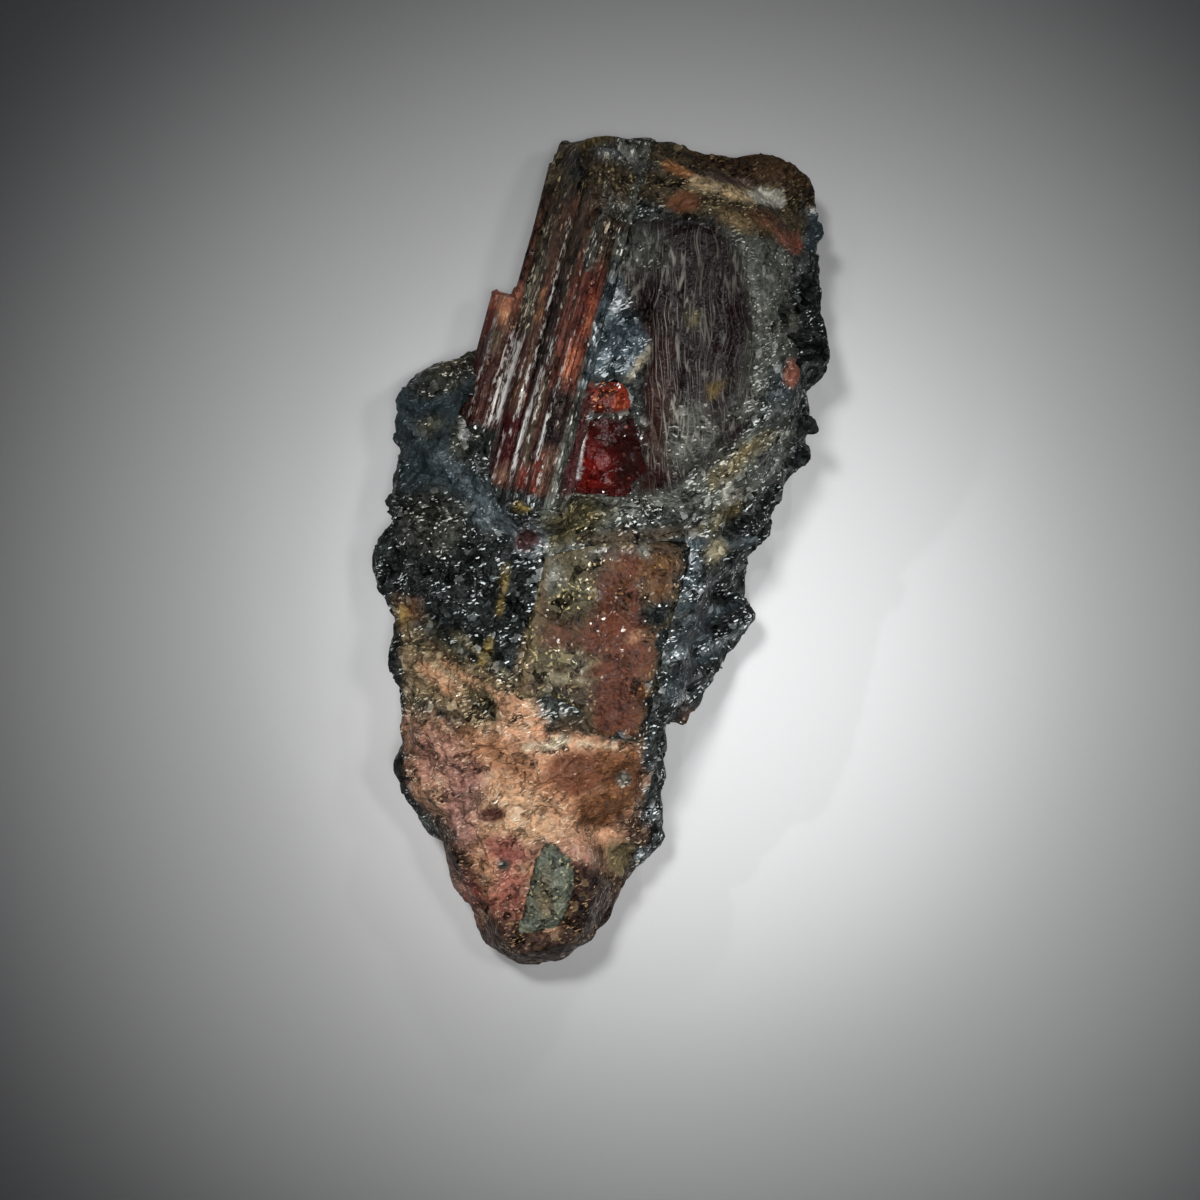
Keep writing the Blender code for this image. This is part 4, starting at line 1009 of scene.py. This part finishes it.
# Stray grains: rust, yellow, garnet in a silver rim, spots of silver galena painted bright as glints,
# and two painted white glints under the small blade.
coat.lay(inside_oval(p, 9.6, -18.0, 1.2, 1.5, 0), RUST_GRAIN, 0.6, 0.4, 0.5)
for yellow_spot in ((-10.2, -3.0, 1.3, 0.45, 80), (-10.6, -5.8, 0.8, 0.35, 70), (-12.2, -10.6, 1.5, 0.5, 72),
                    (-8.0, 5.0, 1.0, 0.7, 0)):
    coat.lay(inside_oval(p, *yellow_spot), YELLOW_GRIT, 0.3, 0.3, 0.85)
coat.lay_all((
    ((-7.7, 1.3, 1.9, 1.7, 0), SILVER_GALENA_AND_GLINT, 0.4, 0.4, 0.6),
    ((-7.7, 1.3, 1.1, 0.9, 0), GARNET, 0.7, 0.25, 0.9),
))
for silver_spot in ((-23.4, -11.8, 0.5, 1.4, -8), (-24.0, -2.2, 0.4, 1.1, -8), (5.2, -28.4, 0.9, 0.5, 50),
                    (4.6, -33.0, 0.9, 0.6, 40), (7.2, -26.0, 0.5, 0.9, 0), (23.4, 16.4, 0.6, 1.0, 0)):
    coat.lay(inside_oval(p, *silver_spot), SILVER_GALENA_AND_GLINT, 0.3, 0.3, 0.9)
coat.lay_all((
    ((-13.4, 13.9, 1.1, 0.45, 10), PAINTED_GLINT_WHITE, 0.4, 0.3, 0.9),
    ((-14.5, 12.6, 0.6, 0.45, 10), PAINTED_GLINT_WHITE, 0.3, 0.3, 0.9),
))

# The streaky tan band that separates the ore from the pink, and the pink itself with its patches.
coat.lay_all((
    ([(-25, -3.5), (-21.9, -4.6), (-19.8, -8.3), (-14.7, -11.7), (-9.8, -13.7), (-8.4, -10.1),
     (-7.4, -7.1), (-6.8, -9), (-7.1, -19.4), (-14.5, -20), (-25, -18)], TAN_BAND, 0.9, 0.7),
    ((-20.4, -6.2, 1.8, 1.2, -50), RUST_GRAIN, 0.8, 0.6, 0.7),
    ((-21.4, -6.8, 1.2, 0.8, -50), YELLOW_GRIT, 0.8, 0.5, 0.7),
    ((-16.0, -10.8, 3.4, 0.6, -38), OLIVE_GRIT, 0.6, 0.5, 0.8),
    ((-13.0, -14.4, 1.6, 1.0, -30), UMBER_BREAK, 0.6, 0.5, 0.7),
    ((-17.0, -13.3, 3.2, 1.2, -40), SALMON_LENS, 0.5, 0.5),
    ((-17.6, -17.3, 3.6, 0.9, -24), DARK_LENS, 0.7, 0.5, 0.8),
    ((-11.8, -15.8, 3.0, 1.4, -30), OLIVE_GRIT, 0.8, 0.6, 0.7),
))
dice = np.random.default_rng(91)
for finish in (OLIVE_GRIT, STRAW, UMBER_BREAK, SALMON_LENS, DARK_LENS, STRAW, OLIVE_GRIT, SALMON_LENS,
               STRAW):
    share, offset = dice.uniform(0, 1), dice.uniform(-2.6, 2.2)
    x, y = -21.5 + 12.5 * share + offset * 0.5, -7.6 - 8.6 * share + offset
    long, wide = dice.uniform(1.4, 2.8), dice.uniform(0.16, 0.34)
    coat.lay(inside_oval(p, x, y, long, wide, -36), finish, 0.4, 0.3, 0.8)
coat.lay(in_pink, SUGAR_PINK, 1.8, 1.0)
coat.lay_all((
    ((-8.5, -23.5, 6.5, 1.8, -32), SUGAR_ORANGE, 1.2, 1.0, 0.8),
    ((-17.5, -22.0, 3.4, 2.6, -50), SUGAR_ROSE, 1.2, 1.0, 0.7),
    ((-14.6, -27.5, 2.0, 5.0, -8), SUGAR_ROSE, 1.0, 0.8, 0.9),
    ((-9.0, -28.6, 4.6, 3.2, -30), SUGAR_CREAM, 1.4, 1.2, 0.55),
    ([(-22, -24), (-17.6, -28), (-14.6, -35), (-13.4, -40), (-17, -42), (-26, -30)],
     MAUVE_SIDE, 1.0, 1.0),
    ((-14.9, -34.0, 0.8, 1.6, 20), DARK_LENS, 0.6, 0.6, 0.6),
    ((-3.0, -33.2, 5.6, 1.6, -8), SUGAR_ROSE, 1.0, 1.0, 0.7),
    ((-9.6, -32.0, 2.4, 1.4, -10), CRIMSON, 0.9, 0.6, 0.75),
    ((-10.0, -37.6, 2.1, 4.6, -8), CRIMSON, 1.2, 0.9, 0.75),
    ((-14.2, -38.2, 1.2, 2.2, 20), CRIMSON, 0.8, 0.8, 0.7),
    ((-2.4, -23.7, 3.4, 2.3, 0), BROWN_GRAIN, 0.4, 0.4),
    ([(-0.4, -21), (4.4, -21), (4.6, -26.2), (1.6, -29.8), (-2.6, -29.6), (-2.6, -26.6), (0.4, -25.4)],
     RUST_GRAIN, 0.5, 0.5),
    ((2.5, -24.4, 0.8, 0.8, 0), GREY_GRIT, 0.25, 0.25, 0.8),
    ((-11.6, -28.2, 1.5, 0.8, 12), GARNET, 0.15, 0.2, 0.9),
    ((-10.4, -33.6, 0.7, 0.6, 0), DARK_LENS, 0.25, 0.3),
    ([(-4.5, -33.6), (3.2, -34.6), (6, -40), (0, -48), (-5.4, -46), (-3.6, -39)], DARK_SUGAR, 0.8, 0.7),
    ((2.2, -33.0, 1.9, 2.0, 0), OLIVE_STONE, 0.6, 0.5),
    ((4.4, -30.4, 2.4, 1.2, -30), DARK_SUGAR, 0.8, 0.6),
    ([(-15, -40), (-8.6, -41), (-4, -41.6), (0, -43.5), (0, -48), (-20, -48)], MAUVE_SIDE, 1.0, 0.8,
     0.7),
    (([(-7.9, -20.9), (-5.8, -20.8), (-4.0, -20.3)], 0.35), CREAM_VEIN, 0.5, 0.35, 0.9),
    (([(-4.0, -20.3), (-1.4, -20.5), (2.0, -20.9)], 0.12), CREAM_VEIN, 0.15, 0.2, 0.8),
))
coat.lay(-22.3 - p[:, 0] + 0.06 * np.abs(p[:, 1] + 4), BLACK_GALENA, 0.8, 0.8, (p[:, 1] < 12) * 1.0)
coat.lay_all((
    ([(-26, -4), (-22.9, -5), (-21.6, -9), (-21.2, -14), (-21.8, -20), (-21.0, -25), (-18.6, -28.6),
     (-17.6, -33), (-26, -33)], BLACK_GALENA, 0.6, 0.5),
    ((-18.1, -29.7, 2.6, 1.5, -40), DARK_LENS, 0.8, 0.6, 0.9),
    ((-15.5, -32.9, 2.0, 1.2, -50), TIP_DARK, 0.7, 0.6, 0.9),
    ((-13.6, -36.4, 2.6, 1.1, -62), TIP_CRIMSON, 0.6, 0.5, 0.9),
    ([(-13, -38), (-8.4, -39.5), (-5.5, -41), (0, -41.4), (3.5, -36), (6, -34), (6, -48), (-14, -48)],
     TIP_DARK, 0.8, 0.8, 0.85),
    ([(-3.6, -33.0), (-0.8, -34.2), (1.6, -36), (1.4, -42), (-3.6, -42), (-4.4, -38)],
     TIP_DARK, 0.7, 0.6, 0.9),
    ((2.6, -38.6, 0.5, 3.6, -22), YELLOW_GRIT, 0.5, 0.4, 0.7),
))
lay_lined_zone(coat)

# The weathered break at the top, crossed by one pale vein.
coat.lay_all((
    (TOP_OUTLINE, BROWN_BREAK, 0.9, 0.6),
    ([(9, 46), (26, 46), (25, 38), (20.5, 39.6), (14, 40.6), (10, 41.8)], UMBER_BREAK, 0.9, 0.8),
    ((2.6, 41.6, 3.0, 1.2, -12), BLUE_GALENA, 0.6, 0.5, 0.6),
    ((1.6, 42.4, 1.2, 0.5, -12), SILVER_GALENA_AND_GLINT, 0.5, 0.4, 0.3),
    ((-0.9, 44.1, 1.3, 0.6, 20), YELLOW_GRIT, 0.6, 0.5, 0.6),
    ((8.7, 37.1, 1.9, 1.2, -6, 12), BROWN_STONE, 0.35, 0.3),
    ((14.6, 35.2, 2.2, 1.0, -30, 12), TAN_STONE, 0.4, 0.4, 0.85),
    ([(18.4, 34.3), (21.3, 34.2), (21.9, 32.9), (21.0, 31.8), (19.0, 32.9)], SALMON_STONE, 0.4, 0.3),
    ((18.4, 35.0, 2.4, 0.9, -22, 12), BROWN_STONE, 0.5, 0.5, 0.7),
    ((14.4, 39.9, 2.4, 0.5, -14, 12), MAUVE_STONE, 0.3, 0.3),
    (([(7.3, 41.5), (8.8, 40.6), (10.6, 39.4)], 0.55), ORANGE_VEIN, 0.25, 0.25),
    (([(10.2, 39.4), (12.6, 38.6), (16.0, 38.1)], 0.8), BEIGE_VEIN, 0.6, 0.4),
    ([(15.8, 38.5), (17.0, 39.3), (19.6, 39.0), (20.2, 37.9), (19.4, 37.1), (16.6, 37.2)],
     PALE_QUARTZ, 0.5, 0.3, 0.9),
))
coat.values[:, COLUMNS["rough"]] += 0.3 * np.clip((0.85 - normals_of(rock)[:, 2]) * 2, 0, 1)
coat.write()

place = new_material(rock, "galena ore")
colour, metal, roughness, facing, flaked = gritty_look(place, grain=0.8, flake=0.19,
                                                        stretch=(0.4, 1.3, 1), turn=-0.35)
threads = silver_threads(place) * place.attribute("lines")
colour = colour.over(tone(156, 152, 142), threads)
surfaced(place, base_color=colour, metallic=metal, roughness=roughness, normal=facing,
         specular_ior_level=0.14, coat_weight=flaked * 0.8, coat_roughness=0.12)
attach(rock, "root")
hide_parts("galena_matrix")


# ---------------------------------------------------------------------------------------------------
# The table, the lamps and the camera. The specimen lies on its back on a pale card, a pool of soft
# light falls on it from above its left side, and the camera looks straight down.

VIEW_WIDTH = 129.0  # mm across the picture, at the crystals
VIEW_MIDDLE = Vector((0.0, -5.16, 20.0))
LENS = 200.0
SENSOR = 36.0
POOL = (8, -10, 0)  # the middle of the pool of light on the card, in mm

bpy.ops.mesh.primitive_plane_add(size=3.0, location=(0, 0, 0))
card = bpy.context.object
card.name = "card"
place = new_material(card, "pale card")
fibre = place.noise(0.6, 3)
surfaced(place, base_color=place.noise(30, 2).node("Mix", {"data_type": "RGBA"}, {
    "A_Color": tone(226, 227, 228), "B_Color": tone(232, 232, 232)}, out=2), roughness=0.9,
         normal=place.bump(fibre, 0.02))
card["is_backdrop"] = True

camera = bpy.data.objects.new("camera", bpy.data.cameras.new("camera"))
camera.data.lens = LENS
camera.data.sensor_width = SENSOR
distance = VIEW_WIDTH * LENS / SENSOR
camera.location = (VIEW_MIDDLE + Vector((0, 0, distance))) * MM
camera.data.clip_start = 0.01
bpy.context.scene.collection.objects.link(camera)
bpy.context.scene.camera = camera

# Each lamp: where it hangs (mm), its power (W), how wide its cone is (degrees) and its radius (mm).
for name, hung, power, cone, radius in (
    ("key_light", (-90, 130, 675), 13.5, 10.2, 52),
    ("near_light", (24, -40, 690), 9.0, 10.2, 52),
    ("fill_right", (165, 30, 670), 4.5, 10.2, 52),
    ("glint_left", (-300, 90, 420), 1.0, 10, 5),
    ("glint_top", (120, 320, 420), 1.0, 10, 5),
    ("glint_right", (260, -160, 420), 0.8, 10, 5),
    ("glint_low", (-90, -300, 460), 0.8, 10, 5),
):
    light = bpy.data.lights.new(name, "SPOT")
    light.energy = power
    light.spot_size = math.radians(cone)
    light.spot_blend = 1.0
    light.shadow_soft_size = radius * MM
    lamp = bpy.data.objects.new(name, light)
    lamp.location = Vector(hung) * MM
    lamp.rotation_euler = (Vector(POOL) - Vector(hung)).to_track_quat("-Z", "Y").to_euler()
    bpy.context.scene.collection.objects.link(lamp)

world = bpy.data.worlds.new("studio")
world.use_nodes = True
world.node_tree.nodes["Background"].inputs["Color"].default_value = (0.035, 0.036, 0.038, 1)
bpy.context.scene.world = world
bpy.context.scene.view_settings.view_transform = "Standard"

low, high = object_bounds()
